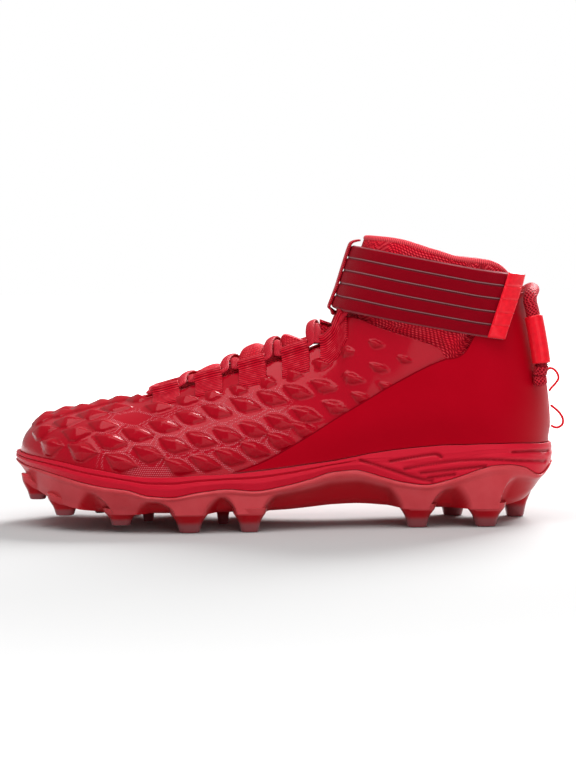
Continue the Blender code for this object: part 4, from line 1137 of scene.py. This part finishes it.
def build_tongue():
    """The padded knit strip under the lace."""
    across = np.linspace(-1, 1, 61)[:, None]
    t = np.linspace(0, 1, 181)[None]
    across, t = np.broadcast_arrays(across, t)
    x = at(TONGUE_FRONT) + (at(0.50) - at(TONGUE_FRONT)) * t
    step = arch_point(x, 0.5) - arch_point(x, 0.46)
    rate = np.linalg.norm(step, axis=-1) / 0.04
    turn = 0.5 - across * np.minimum((THROAT_HALF_WIDTH + TONGUE_MARGIN) / rate, 0.2)
    x = at(TONGUE_FRONT) + (tongue_end(turn) - at(TONGUE_FRONT)) * t
    open_share = np.clip((TONGUE_PUFF_FRONT - along(x)) / THROAT_NOSE, 0.0, 1.0)
    puff = np.maximum(1 - (across * PUFF_NARROW) ** 2, 0.0) * open_share
    window = np.zeros_like(x)
    for share, height in zip(LACE_STATIONS, WINDOW_PUFF):
        near = np.clip(np.abs(x - at(share)) / (WINDOW_SPAN * WEBBING_WIDTH), 0, 1)
        window = np.maximum(window, height * (1 - near ** 3) ** 1.5)
    pillow = np.clip(1 - (across * WINDOW_NARROW) ** 2, 0, 1) ** 0.7 * window
    points = arch_offset(x, turn, -(UPPER_WALL + SKIN_GAP) + TONGUE_PUFF * puff + pillow)
    tongue = add_sheet("knit_tongue", points[::-1])
    return thicken(tongue, TONGUE_WALL, edge=0.0008)


def knit_finish(name, pitch_u, pitch_v):
    """Knit: staggered light loops over darker rows."""
    c = colours()
    finish = Finish(name, c.knit, 0.62)
    loop = finish.rest(finish.step(finish.dots(pitch_u, pitch_v), 0.16, 0.50))
    light = finish.mix(c.knit, c.knit_light, finish.step(finish.noise(0.10, 3.0), 0.35, 0.75))
    finish.colour(finish.mix(c.knit_shade, light, loop))
    finish.raise_by(loop, 0.0005, 0.8)
    finish.grain(5.0, 0.0001)
    return finish.yarn()


def rim_finish():
    c = colours()
    finish = Finish("rolled binding", c.rim, 0.5)
    rib = finish.step(finish.wave(finish.axes()[0], 1.1), -0.6, 0.8)
    finish.colour(finish.mix(c.rim_shade, c.rim, rib))
    finish.raise_by(rib, 0.0002, 0.6)
    finish.nap(0.15)
    return finish.material


class CLEAT_OT_knit(CleatPiece, bpy.types.Operator):
    """Build the knit sleeve, its rolled rim and the knit tongue"""

    bl_idname = "cleat.knit"
    bl_label = "Knit sleeve, rim and tongue"

    def execute(self, context):
        dress(build_sleeve(), knit_finish("sleeve knit", 1.9, 1.45), "bright_knit", "ankle_sleeve")
        dress(build_rim(), rim_finish(), "bright_knit", "collar_rim")
        tongue = build_tongue()
        dress(tongue, knit_finish("tongue knit", 1.7, 1.3), "bright_knit", "tongue")
        return {"FINISHED"}


# A webbing loop's section: reach past the shell's edge and height over the last, in metres
LOOP_SECTION = (
    (-0.0122, 0.0003), (-0.0112, 0.0009), (-0.0085, 0.0011), (-0.0045, 0.0012), (-0.0012, 0.0014),
    (0.0003, 0.0024), (0.0012, 0.0038), (0.0027, 0.0046), (0.0045, 0.0044), (0.0060, 0.0034),
    (0.0066, 0.0018), (0.0060, 0.0003), (0.0044, -0.0005), (0.0022, -0.0007), (0.0004, -0.0008))
LACE_REACH = 0.0034
LACE_RISE = 0.0020
LACE_HALF_THICK = 0.0010


def edge_frame(x, side, reach, out):
    """A point at a distance past the shell's edge, over the last."""
    edge = shell_edge_turn(x)
    step = arch_point(x, edge + 0.005) - arch_point(x, edge - 0.005)
    turn = edge + reach / (np.linalg.norm(step, axis=-1) / 0.01)
    return arch_offset(x, turn if side > 0 else 1 - turn, out)


def build_lace_loop(number, side):
    section = smooth_path(LOOP_SECTION, 3)
    across = np.linspace(-0.5, 0.5, 25)
    x = at(LACE_STATIONS[number]) + WEBBING_WIDTH * across
    reach, out = section[:, 0][:, None], section[:, 1][:, None]
    body = smooth((reach + 0.004) / 0.004) * np.sqrt(1 - (across[None] * 1.9) ** 2)
    points = edge_frame(np.broadcast_to(x[None], (len(section), len(x))), side,
                        np.broadcast_to(reach, (len(section), len(x))), out + 0.0004 * body)
    points = points[:, ::-1] if side > 0 else points
    label = "webbing_%s_%d" % ("outer" if side > 0 else "inner", number + 1)
    loop = add_sheet(label, points)
    return thicken(loop, WEBBING_THICKNESS, edge=0.0003)


def lace_route():
    """Places along the lace: station along the shoe, side from -1 to 1, and height."""
    half = WEBBING_WIDTH / 2 + 0.0012
    centres = [at(share) for share in LACE_STATIONS]
    halves = []
    for first in (1, -1):
        route, side = [], first
        for number, x in enumerate(centres):
            route += [(x + half, side, 0.0), (x + half * 0.45, side, 0.0), (x, side, 0.0),
                      (x - half * 0.45, side, 0.0), (x - half, side, 0.0)]
            if number + 1 < len(centres):
                start, end = x - half, centres[number + 1] + half
                lift = LACE_ARCH * ((first > 0) == (number % 2 == 0))
                for t in (0.2, 0.4, 0.6, 0.8):
                    over = (1.6 * lift - 0.4 * LACE_ARCH) * math.sin(math.pi * t) ** 0.8
                    route.append((start + (end - start) * smooth(t), side * (1 - 2 * t), over))
                side = -side
        halves.append(route)
    front = at(LACE_FRONT)
    bar = [(front, side, 0.5 * LACE_ARCH * (1 - side * side)) for side in (-0.8, -0.3, 0.3, 0.8)]
    return halves[1][::-1] + bar + halves[0]


def lace_point(x, side, over):
    edge = float(shell_edge_turn(x))
    step = arch_point(x, edge + 0.005) - arch_point(x, edge - 0.005)
    edge = edge + LACE_REACH / (float(np.linalg.norm(step)) / 0.01)
    return arch_offset(x, 0.5 - side * (0.5 - edge), LACE_RISE + over)


def build_lace():
    """One flat lace, crossed through its loops from the front bar to the ankle."""
    path = smooth_path([lace_point(*place) for place in lace_route()], 7)
    x = np.clip(path[:, 0], at(0.30), at(0.76))
    up = arch_normal(x, np.full(len(path), 0.5))
    lean = (path[:, 1] - centre_at(path[:, 0], path[:, 2])) / THROAT_HALF_WIDTH
    up = unit(up + np.stack((lean * 0, 0.35 * lean, lean * 0), -1))
    wide = sizes().lace_width
    return add_tube("woven_lace", path, wide, 20, LACE_HALF_THICK / wide, up)


def webbing_finish(name, pitch):
    """Fine ribs along the shoe."""
    c = colours()
    finish = Finish(name, c.webbing, 0.50)
    u, v = finish.axes()[:2]
    rib = finish.step(finish.wave(v, pitch), -0.8, 0.7)
    cloud = finish.step(finish.noise(0.25), 0.4, 0.8)
    light = finish.mix(c.webbing, c.webbing_light, cloud)
    finish.colour(finish.mix(c.webbing_shade, light, rib))
    finish.raise_by(finish.maths("MULTIPLY_ADD", finish.wave(u, 0.9), 0.12, rib), 0.00025, 0.8)
    return finish.yarn()


def lace_finish():
    c = colours()
    finish = Finish("lace braid", c.lace, 0.55)
    strand = finish.strands(1.25, 1.0, -0.2, 0.9)
    finish.colour(finish.mix(c.lace_shade, c.lace, strand))
    finish.raise_by(strand, 0.0003, 0.8)
    return finish.yarn()


class CLEAT_OT_lacing(CleatPiece, bpy.types.Operator):
    """Build the webbing loops and the lace that runs through them"""

    bl_idname = "cleat.lacing"
    bl_label = "Webbing loops and lace"

    def execute(self, context):
        webbing = webbing_finish("ribbed webbing", 1.35)
        for number in range(len(LACE_STATIONS)):
            for side, name in ((1, "outer"), (-1, "inner")):
                dress(build_lace_loop(number, side), webbing, "woven_lace",
                      "lace_loop_%s_%d" % (name, number + 1))
        dress(build_lace(), lace_finish(), "woven_lace", "laces")
        return {"FINISHED"}


def band_grid(ends, out, rows, count):
    """A band between two slanted ends round the ankle, from its lower to its upper edge.

    Each end has its shares of the length below and above, a shift forward, and its side.
    """
    height = np.linspace(0, 1, rows + 1)
    line = strap_line(height)
    first, last = (side * ring_angle(at(low + (high - low) * height) + shift, line)
                   for (low, high), shift, side in ends)
    share = np.linspace(0, 1, count)[None]
    angle = first[:, None] + (last - first)[:, None] * (1 - share)
    height = np.broadcast_to(height[:, None], angle.shape)
    lift = out(height, share) if callable(out) else np.full(angle.shape, out)
    return ring_offset(angle, strap_line(height), lift), height


def rounded(height, spread=0.045):
    """Drop of a band's surface toward its edges."""
    near = np.clip(np.minimum(height, 1 - height) / spread, 0, 1)
    return np.sqrt(1 - (1 - near) ** 2)


def strap_relief(height):
    """Convex bands, a double groove between each pair."""
    phase = np.abs((height * STRAP_BANDS) % 1.0 - 0.5) * 2
    return sizes().band_groove * (1 - smooth((phase - 0.70) / 0.26))


def layer(name, surface, floor, ends, rows, count):
    """A band with a modelled outer face over a plain inner one."""
    points, height = band_grid(ends, surface, rows, count)
    below, _ = band_grid(ends, floor, rows, count)
    piece = add_sheet(name, points, height=height)
    modify(piece, "SOLIDIFY", thickness=TAB_THICKNESS, offset=-1.0)
    now = places(piece)
    now[points[..., 0].size:] = below.reshape(-1, 3)
    put(piece, now)
    return piece


def build_strap():
    """The ankle strap, from the inner side round the front to its tab."""
    def surface(height, share):
        edge = STRAP_EDGE_DROP * (rounded(height) - 1)
        return STRAP_OUT + STRAP_THICKNESS - sizes().band_groove + strap_relief(height) + edge
    ends = ((STRAP_END, 0.0, 1), (STRAP_ANCHOR, 0.0, -1))
    return round_edges(layer("woven_strap", surface, STRAP_OUT, ends, 88, 240), 0.0004)


def strap_finish():
    """Woven bands with a light and a dark thread between them."""
    c = colours()
    finish = Finish("woven strap", c.strap, 0.62)
    height = finish.attribute("height")
    phase = finish.maths("FRACT", finish.times(height, float(STRAP_BANDS)))
    u, v = finish.axes()[:2]
    cell = finish.times(finish.wave(u, 0.55), finish.wave(v, 0.62))
    base = finish.mix(c.strap_shade, c.strap, finish.step(cell, -0.7, 0.7))
    base = finish.mix(base, c.strap_cloud, finish.times(finish.noise(0.06), 0.5))
    inner = finish.between(height, 0.10, 0.12, 0.88, 0.90)
    light = finish.times(finish.between(phase, 0.005, 0.02, 0.075, 0.095), inner)
    dark = finish.times(finish.between(phase, 0.90, 0.925, 0.985, 1.0), inner)
    thread = finish.step(finish.wave(u, 1.2), -0.9, 0.2)
    glint = finish.times(light, finish.maths("MULTIPLY_ADD", thread, 0.35, 0.6))
    base = finish.mix(base, c.strap_light, glint)
    base = finish.mix(base, c.strap_dark, finish.times(dark, 0.85))
    edge = finish.maths("ADD", finish.step(height, 0.972, 0.985),
                        finish.rest(finish.step(height, 0.015, 0.028)))
    edge = finish.times(edge, finish.maths("MULTIPLY_ADD", thread, 0.3, 0.25))
    finish.colour(finish.mix(base, c.strap_edge, edge))
    finish.raise_by(cell, 0.00012, 0.8)
    return finish.yarn()


def build_tab():
    """The welded film end of the strap, in five cushioned parts."""
    top = STRAP_OUT + STRAP_THICKNESS + SKIN_GAP

    def surface(height, share):
        edge = np.minimum(share, 1 - share)
        near = np.sqrt(1 - (1 - np.clip(edge / 0.14, 0, 1)) ** 2)
        groove = smooth((np.abs((height * STRAP_BANDS) % 1.0 - 0.5) * 2 - 0.80) / 0.2)
        puff = near * (0.55 + 0.45 * rounded(height, 0.05)) * (1 - 0.6 * groove)
        return top + TAB_EDGE + (TAB_THICKNESS - TAB_EDGE) * puff
    ends = ((STRAP_END, 0.0, 1), (STRAP_END, TAB_LENGTH, 1))
    tab = layer("film_tab", surface, top, ends, 90, 26)
    tab.data.shade_smooth()
    return tab


def film_finish(name):
    c = colours()
    finish = Finish(name, c.film, 0.30)
    finish.colour(finish.mix(c.film, c.film_cloud, finish.noise(0.35)))
    finish.grain(0.9, 0.0001)
    finish.coat(0.25, 0.15)
    finish.shine(0.4)
    return finish.material


def build_keeper():
    """The upright band in front of the strap."""
    share, lift = smooth_path(KEEPER, 5).T
    height = rise(share)

    def line(x):
        return height.reshape(-1, *[1] * (np.ndim(x) - 1)) + 0 * x
    front = ring_point(np.zeros(len(share)), line)[..., 1]
    wide = closed_in(np.zeros(len(share)), np.full(len(share), 1.2), lambda angle:
                     ring_point(angle, line)[..., 1] - front <= KEEPER_WIDTH / 2, 20)[0]
    across = np.linspace(-1, 1, 17)[None]
    out = (lift + KEEPER_THICKNESS)[:, None] - 0.0004 * across ** 2
    keeper = add_sheet("woven_keeper", ring_offset(across * wide[:, None], line, out))
    return thicken(keeper, KEEPER_THICKNESS, 0.0002, 60)


class CLEAT_OT_strap(CleatPiece, bpy.types.Operator):
    """Build the woven ankle strap, its film tab and its keeper"""

    bl_idname = "cleat.strap"
    bl_label = "Ankle strap"

    def execute(self, context):
        dress(build_strap(), strap_finish(), "woven_strap", "ankle_strap")
        dress(build_tab(), film_finish("tab film"), "bright_film", "strap_tab")
        dress(build_keeper(), webbing_finish("keeper weave", 1.0), "woven_strap", "strap_keeper")
        return {"FINISHED"}


def pull_point(angle, share, stand_off):
    def line(x):
        return np.full_like(np.asarray(x, float), rise(share))
    out = QUARTER_GAP + QUARTER_WALL + SKIN_GAP + PULL_LOOP_DIAMETER / 2 + stand_off
    return ring_offset(np.array([angle]), line, np.array([out]))[0]


def pull_path(steps):
    half = [pull_point(math.pi - angle, share, out) for angle, share, out in PULL_LOOP]
    other = [pull_point(math.pi + angle, share, out) for angle, share, out in PULL_LOOP[-2::-1]]
    return smooth_path(half + other, steps)


def build_pull_loop():
    return add_tube("braided_loop", pull_path(12), PULL_LOOP_DIAMETER / 2, 48)


def braid_finish():
    c = colours()
    finish = Finish("cord braid", c.cord, 0.55)
    strand = finish.strands(2.0, 0.9, -0.1, 0.95)
    light = finish.mix(c.cord, c.webbing_light, finish.noise(0.4))
    finish.colour(finish.mix(c.cord_shade, light, strand))
    finish.raise_by(strand, 0.0007, 0.9)
    return finish.yarn()


def build_pull_tube(name, leg):
    low, high = rise(PULL_SLEEVE[0]), rise(PULL_SLEEVE[1])
    centre = leg[(leg[:, 2] > low) & (leg[:, 2] < high)]
    outer = PULL_LOOP_DIAMETER / 2 + 2 * GAP + PULL_SLEEVE_WALL
    return add_tube(name, centre, outer, 32, hollow=PULL_SLEEVE_WALL)


def build_heel_cord(name, rows):
    points = []
    for share, reach in rows:
        z = rise(share)
        x = float(heel_back(z)) - QUARTER_WALL - SKIN_GAP - reach
        points.append((x, float(centre_at(x, z)), z))
    return add_tube(name, smooth_path(points, 6), HEEL_CORD_DIAMETER / 2, 12, up=(0.0, 1.0, 0.0))


class CLEAT_OT_heel_pull(CleatPiece, bpy.types.Operator):
    """Build the braided pull loop, its two tubes and the thin cords at the heel"""

    bl_idname = "cleat.heel_pull"
    bl_label = "Heel pull loop"

    def execute(self, context):
        dress(build_pull_loop(), braid_finish(), "braided_cord", "heel_pull_loop")
        path = pull_path(12)
        top = len(path) // 2
        film = film_finish("tube film")
        for name, leg in (("outer", path[:top]), ("inner", path[top:][::-1])):
            dress(build_pull_tube("film_tube_%s" % name, leg), film, "bright_film",
                  "pull_loop_tube_%s" % name)
        for name, rows in zip(("upper", "lower"), HEEL_CORDS):
            dress(build_heel_cord("thin_cord_%s" % name, rows), film, "bright_film",
                  "heel_cord_%s" % name)
        return {"FINISHED"}


def sole_stations():
    return np.concatenate((eased(1.0, 0.86, 60, "start"), eased(0.86, 0.13, 300)[1:],
                           eased(0.13, 0.0, 60, "end")[1:]))


def level(share, low_column, high_column, low_gap=0.0):
    """A height over the floor, as a function of x, at a share of the way between two lines."""
    def height(x):
        low = sole_height(low_column, x) + low_gap
        return low + share * (sole_height(high_column, x) - low)
    return height


def loft(name, rows):
    """A closed solid from rows of insets and heights, round both sides of the sole."""
    share, sides = sole_stations(), []
    x0 = at(share)
    for side in (1.0, -1.0):
        points = []
        for inset, height in rows:
            drop = inset(x0, side) if callable(inset) else inset
            x = HEEL_X + drop + share * (SOLE_LENGTH - 2 * drop)
            half = np.maximum(plan_half_width(x, drop), 0.0)
            points.append(np.stack((x, centre_line(x) + side * half, height(x)), -1))
        sides.append(np.array(points))
    outer, inner = sides
    piece = add_sheet(name, np.concatenate((outer, inner[::-1], outer[:1])))
    weld(piece)
    outward(piece)
    return piece


def groove_inset(x, z):
    """Depth of the ribs' grooves on the heel and of the fold in front, at places on the side."""
    depth = np.zeros_like(x)
    here = np.stack((x, z), -1)
    for rows in SIDE_GROOVES:
        path = smooth_path([(at(share), STUD_LENGTH + height * SOLE_DEPTH)
                            for share, height in rows], 16)
        apart = np.min(np.linalg.norm(here[..., None, :] - path, axis=-1), axis=-1)
        depth = np.maximum(depth, RIB_GROOVE * (1 - smooth(apart / RIB_GROOVE_RUN)))
    return depth


def midsole_rows():
    """Rows from the parting to the lip and down inside, as insets and heights."""
    shares = np.concatenate((np.linspace(0, 0.60, 14), np.linspace(0.62, 0.76, 10),
                             np.linspace(0.79, 1.0, 10)))
    form = np.interp(shares, *zip(*MIDSOLE_SIDE))
    plain = np.where((shares > 0.60) & (shares < 0.76), 0.0003, form)
    rows = []
    for share, deep, flat in zip(shares, form, plain):
        height = level(share, "parting", "lip", GAP)

        def inset(x, side, height=height, deep=deep, flat=flat):
            front = smooth((along(x) - LIP_GROOVE_END) / 0.02)
            return flat + (deep - flat) * front + groove_inset(x, height(x))
        rows.append((inset, height))
    lip = level(1, "lip", "lip")
    return rows + [(0.0014, lip), (LIP_WALL, lip), (LIP_WALL, bed_height)]


def build_midsole():
    """The satin carrier with its lip, fold and heel ribs."""
    piece = loft("sole_carrier", midsole_rows())
    points = places(piece)
    mark(piece, "groove", groove_inset(points[:, 0], points[:, 2]) * 1000)
    piece.data.shade_smooth()
    return piece


def carrier_finish():
    c = colours()
    finish = Finish("satin carrier", c.carrier, 0.38, "Object")
    base = finish.mix(c.carrier, c.carrier_cloud, finish.noise(60))
    # The grooves are darkened with painted shade, the deeper ones more
    groove = finish.times(finish.step(finish.attribute("groove"), 0.1, 1.1), 0.7)
    finish.colour(finish.mix(base, c.carrier_groove, groove))
    finish.grain(1500, 0.00003)
    finish.coat(0.10, 0.25)
    finish.shine(0.5)
    return finish.material


# Side of the dressed plate: share of the height from the underside to the parting, inset between
# the studs, and share of the way in from the plate's edge to a stud's outer face
PLATE_RELIEF = Table(("up", "between", "stud"), (
    (0.00, 0.0120, 1.00), (0.15, 0.0092, 0.85), (0.35, 0.0072, 0.55), (0.55, 0.0048, 0.30),
    (0.70, 0.0022, 0.12), (0.82, 0.0004, 0.00), (0.92, 0.0000, 0.00), (1.00, 0.0008, 0.00)))
FAN_FOOT = 1.05
FAN_SPREAD = 1.25


def fan_width(size, share):
    return STUD_BASE * size * (FAN_FOOT + FAN_SPREAD * share ** 1.6)


def plate_inset(x, side, share):
    """How far the plate's side lies in, with a fan that rises from each stud to the parting."""
    depth = float(PLATE_RELIEF.read("between", share))
    inset = np.full(x.shape, depth)
    for place, across, _, size in STUDS.rows:
        if across * side < 0.1:
            continue
        stud = at(place)
        face = across * side * BALL_WIDTH + STUD_BASE * size * 0.98
        reach = max(float(plan_half_width(np.array(stud), 0.0)) - face, 0.0) - 0.0004
        reach = reach * float(PLATE_RELIEF.read("stud", share)) + 0.0008 * share
        fan = 1 - smooth((np.abs(x - stud) / fan_width(size, share) - 0.72) / 0.45)
        inset = inset + (np.minimum(reach, depth) - inset) * fan
    return inset


def stud_place(share, across):
    """A stud's middle, and the height of the plate's underside there."""
    x = at(share)
    return x, float(centre_line(x)) + across * BALL_WIDTH, float(sole_height("under", x))


def build_stud(number, share, across, tip, size):
    """A flared stud, as a square bar with soft corners and its foot spread."""
    x, y, under = stud_place(share, across)
    base = under + STUD_ROOT
    drop = base - tip * SOLE_DEPTH
    turn = np.linspace(0, 2 * math.pi, 49)
    down = np.concatenate((np.linspace(0, 0.9, 22), np.linspace(0.92, 1.0, 6)))[:, None]
    sides = np.abs(np.cos(turn)) ** STUD_SQUARE + np.abs(np.sin(turn)) ** STUD_SQUARE
    square = sides ** (-1 / STUD_SQUARE)
    ahead, aside = (STUD_BASE * size * STUD_PROFILE.read(column, down) * wave * square
                    for column, wave in (("wide", np.cos(turn)), ("deep", np.sin(turn))))
    ends = sole_height("under", x + SLOPE_STEP) - sole_height("under", x - SLOPE_STEP)
    slope = float(ends) / (2 * SLOPE_STEP)
    rings = np.stack((x + ahead, y + aside, base - drop * down
                      + slope * ahead * (1 - down) ** 2), -1)
    top, end = rings[:1].copy(), rings[-1:].copy()
    top[..., :2] = end[..., :2] = x, y
    piece = add_sheet("stud_%d" % number, np.concatenate((top, rings, end)))
    weld(piece, 0.000001)
    outward(piece)
    return piece


def build_plate():
    """The stud plate and its studs, joined."""
    rows = [(lambda x, side, share=share: plate_inset(x, side, share),
             level(share, "under", "parting")) for share in np.linspace(0, 1, 25)]
    plate = loft("clear_plate", rows)
    studs = joined([build_stud(number, *row) for number, row in enumerate(STUDS.rows)])
    modify(plate, "BOOLEAN", operation="UNION", solver="EXACT", object=studs, use_self=True)
    bpy.data.objects.remove(studs)
    paint_plate(plate)
    plate.data.shade_smooth()
    plate.data.set_sharp_from_angle(angle=math.radians(38))
    return plate


def paint_plate(plate):
    """Keep the frost and the clear tips as numbers on the points."""
    x, y, z = places(plate).T
    low, high = sole_height("under", x), sole_height("parting", x)
    share = (z - low) / (high - low)
    frost, tip = smooth((share - 0.62) / 0.14), np.zeros(len(x))
    for place, across, tip_height, size in STUDS.rows:
        stud_x, stud_y, base = stud_place(place, across)
        down = (base - z) / max(base - tip_height * SOLE_DEPTH, 0.004)
        near = np.hypot((x - stud_x) / 1.3, y - stud_y) < STUD_BASE * size * 1.25
        tip = np.where(near, np.maximum(tip, smooth((down - 0.34) / 0.30)), tip)
        spread = fan_width(size, np.clip(share, 0, 1))
        fan = 1 - smooth((np.abs(x - stud_x) / spread - 0.80) / 0.30)
        side = np.sign(y - centre_line(x)) == np.sign(stud_y - centre_line(stud_x))
        frost = np.maximum(frost, np.where(side & (share > -0.05), fan, 0.0))
    mark(plate, "frost", frost)
    mark(plate, "tip", tip)


def plate_finish():
    c = colours()
    finish = Finish("clear red plate", c.plate, 0.30, "Object")
    tip = finish.attribute("tip")
    cloud = finish.maths("MULTIPLY_ADD", finish.noise(90, 3.0), 0.7, 0.55)
    base = finish.mix(c.plate, c.frost, finish.times(finish.attribute("frost"), cloud))
    finish.colour(finish.mix(base, c.stud_tip, tip))
    finish.grain(700, 0.00004)
    finish.coat(0.0, 0.08)
    finish.feed(finish.maths("MULTIPLY_ADD", tip, 0.8, 0.15), finish.shader.inputs["Coat Weight"])
    finish.shine(0.5)
    finish.set("Subsurface Weight", 0.12)
    finish.set("Subsurface Radius", (0.004, 0.001, 0.001))
    finish.set("Subsurface Scale", 1.0)
    return finish.material


def insole_finish():
    c = colours()
    finish = Finish("insole cloth", c.insole, 0.85, "Object")
    threads = [finish.wave(place, 0.0011) for place in finish.axes()[:2]]
    weave = finish.step(finish.times(*threads), -0.8, 0.8)
    finish.colour(finish.mix(c.insole, c.insole_light, weave))
    finish.raise_by(weave, 0.0001, 0.6)
    finish.nap(0.1)
    return finish.material


class CLEAT_OT_sole(CleatPiece, bpy.types.Operator):
    """Build the carrier and the stud plate, and give the insole its cloth"""

    bl_idname = "cleat.sole"
    bl_label = "Sole and studs"

    def execute(self, context):
        dress(build_midsole(), carrier_finish(), "satin_carrier", "midsole")
        dress(build_plate(), plate_finish(), "clear_red_plate", "stud_plate")
        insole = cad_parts["insole"]
        insole.data.materials.clear()
        insole.data.materials.append(insole_finish())
        return {"FINISHED"}


def add_softbox(name, place, target, width, depth, power):
    data = bpy.data.lights.new(name, "AREA")
    data.shape = "RECTANGLE"
    data.size, data.size_y = width, depth
    data.energy = power
    light = bpy.data.objects.new(name, data)
    light.location = place
    light.rotation_euler = (Vector(target) - Vector(place)).to_track_quat("-Z", "Y").to_euler()
    bpy.context.scene.collection.objects.link(light)
    return light


def build_floor():
    deselect()
    bpy.ops.mesh.primitive_plane_add(size=FLOOR_SIZE)
    floor = bpy.context.object
    floor.name = floor.data.name = "studio_floor"
    finish = Finish("studio white", (FLOOR_GREY,) * 3, 0.9, "Object")
    finish.set("Specular IOR Level", 0.0)
    reach = finish.add("VectorMath", {"operation": "LENGTH"}, i0=finish.space).outputs["Value"]
    finish.feed(finish.step(reach, *FLOOR_GLOW), finish.shader.inputs["Emission Strength"])
    finish.set("Emission Color", (1.0, 1.0, 1.0, 1.0))
    floor.data.materials.append(finish.material)
    return floor


def build_camera():
    s = sizes()
    place = Vector((0.0, s.camera_reach, s.camera_height))
    data = bpy.data.cameras.new("photo_camera")
    data.sensor_fit = "HORIZONTAL"
    data.sensor_width = 36.0
    data.lens = CAMERA_FOCAL_PX / PHOTO_WIDTH * data.sensor_width
    camera = bpy.data.objects.new("photo_camera", data)
    aim = (Vector((0.0, 0.0, s.camera_aim)) - place).to_track_quat("-Z", "Y")
    roll = Matrix.Rotation(math.radians(CAMERA_ROLL), 3, "Z")
    camera.rotation_euler = (aim.to_matrix() @ roll).to_euler()
    camera.location = place
    bpy.context.scene.collection.objects.link(camera)
    bpy.context.scene.camera = camera
    return camera


class CLEAT_OT_stage(CleatPiece, bpy.types.Operator):
    """Build the floor, the soft studio light and the camera"""

    bl_idname = "cleat.stage"
    bl_label = "Stage"

    def execute(self, context):
        s = sizes()
        build_floor()
        add_softbox("overhead", (0.10, 0.50, 1.30), (0, 0, 0.05), 1.6, 1.0, s.key_power)
        add_softbox("fill", (-0.60, 1.60, 0.50), (0, 0, 0.06), 1.2, 0.9, s.fill_power)
        add_softbox("behind", (-0.65, -1.05, 1.05), (0.03, 0, 0.07), 0.8, 0.9,
                             s.back_power)
        build_camera()
        world = bpy.data.worlds.new("studio_surround")
        world.use_nodes = True
        tree = world.node_tree
        background = tree.nodes["Background"]
        background.inputs["Color"].default_value = (1.0, 1.0, 1.0, 1.0)
        seen = tree.nodes.new("ShaderNodeMapRange")
        seen.inputs["To Min"].default_value = s.sky
        ray = tree.nodes.new("ShaderNodeLightPath").outputs["Is Camera Ray"]
        tree.links.new(ray, seen.inputs[0])
        tree.links.new(seen.outputs[0], background.inputs["Strength"])
        bpy.context.scene.world = world
        bpy.context.scene.view_settings.view_transform = "Standard"
        return {"FINISHED"}


class CLEAT_PT_panel(bpy.types.Panel):
    """The shoe's colours, sizes and pieces"""

    bl_idname = "CLEAT_PT_panel"
    bl_label = "Football cleat"
    bl_space_type = "VIEW_3D"
    bl_region_type = "UI"
    bl_category = "Cleat"

    def draw(self, context):
        for group in (colours(), sizes()):
            box = self.layout.box()
            for name in group.__annotations__:
                box.prop(group, name)
        for operator in PIECES:
            self.layout.operator(operator.bl_idname)


PIECES = (CLEAT_OT_skin, CLEAT_OT_quarter, CLEAT_OT_knit, CLEAT_OT_lacing, CLEAT_OT_strap,
          CLEAT_OT_heel_pull, CLEAT_OT_sole, CLEAT_OT_stage)
CLASSES = (CleatColours, CleatSizes, *PIECES, CLEAT_PT_panel)


def register():
    for item in CLASSES:
        bpy.utils.register_class(item)
    bpy.types.Scene.cleat_colours = bpy.props.PointerProperty(type=CleatColours)
    bpy.types.Scene.cleat_sizes = bpy.props.PointerProperty(type=CleatSizes)


def unregister():
    del bpy.types.Scene.cleat_sizes
    del bpy.types.Scene.cleat_colours
    for item in reversed(CLASSES):
        bpy.utils.unregister_class(item)


def main():
    register()
    for operator in PIECES:
        group, name = operator.bl_idname.split(".")
        getattr(getattr(bpy.ops, group), name)()


if __name__ == "__main__":
    main()
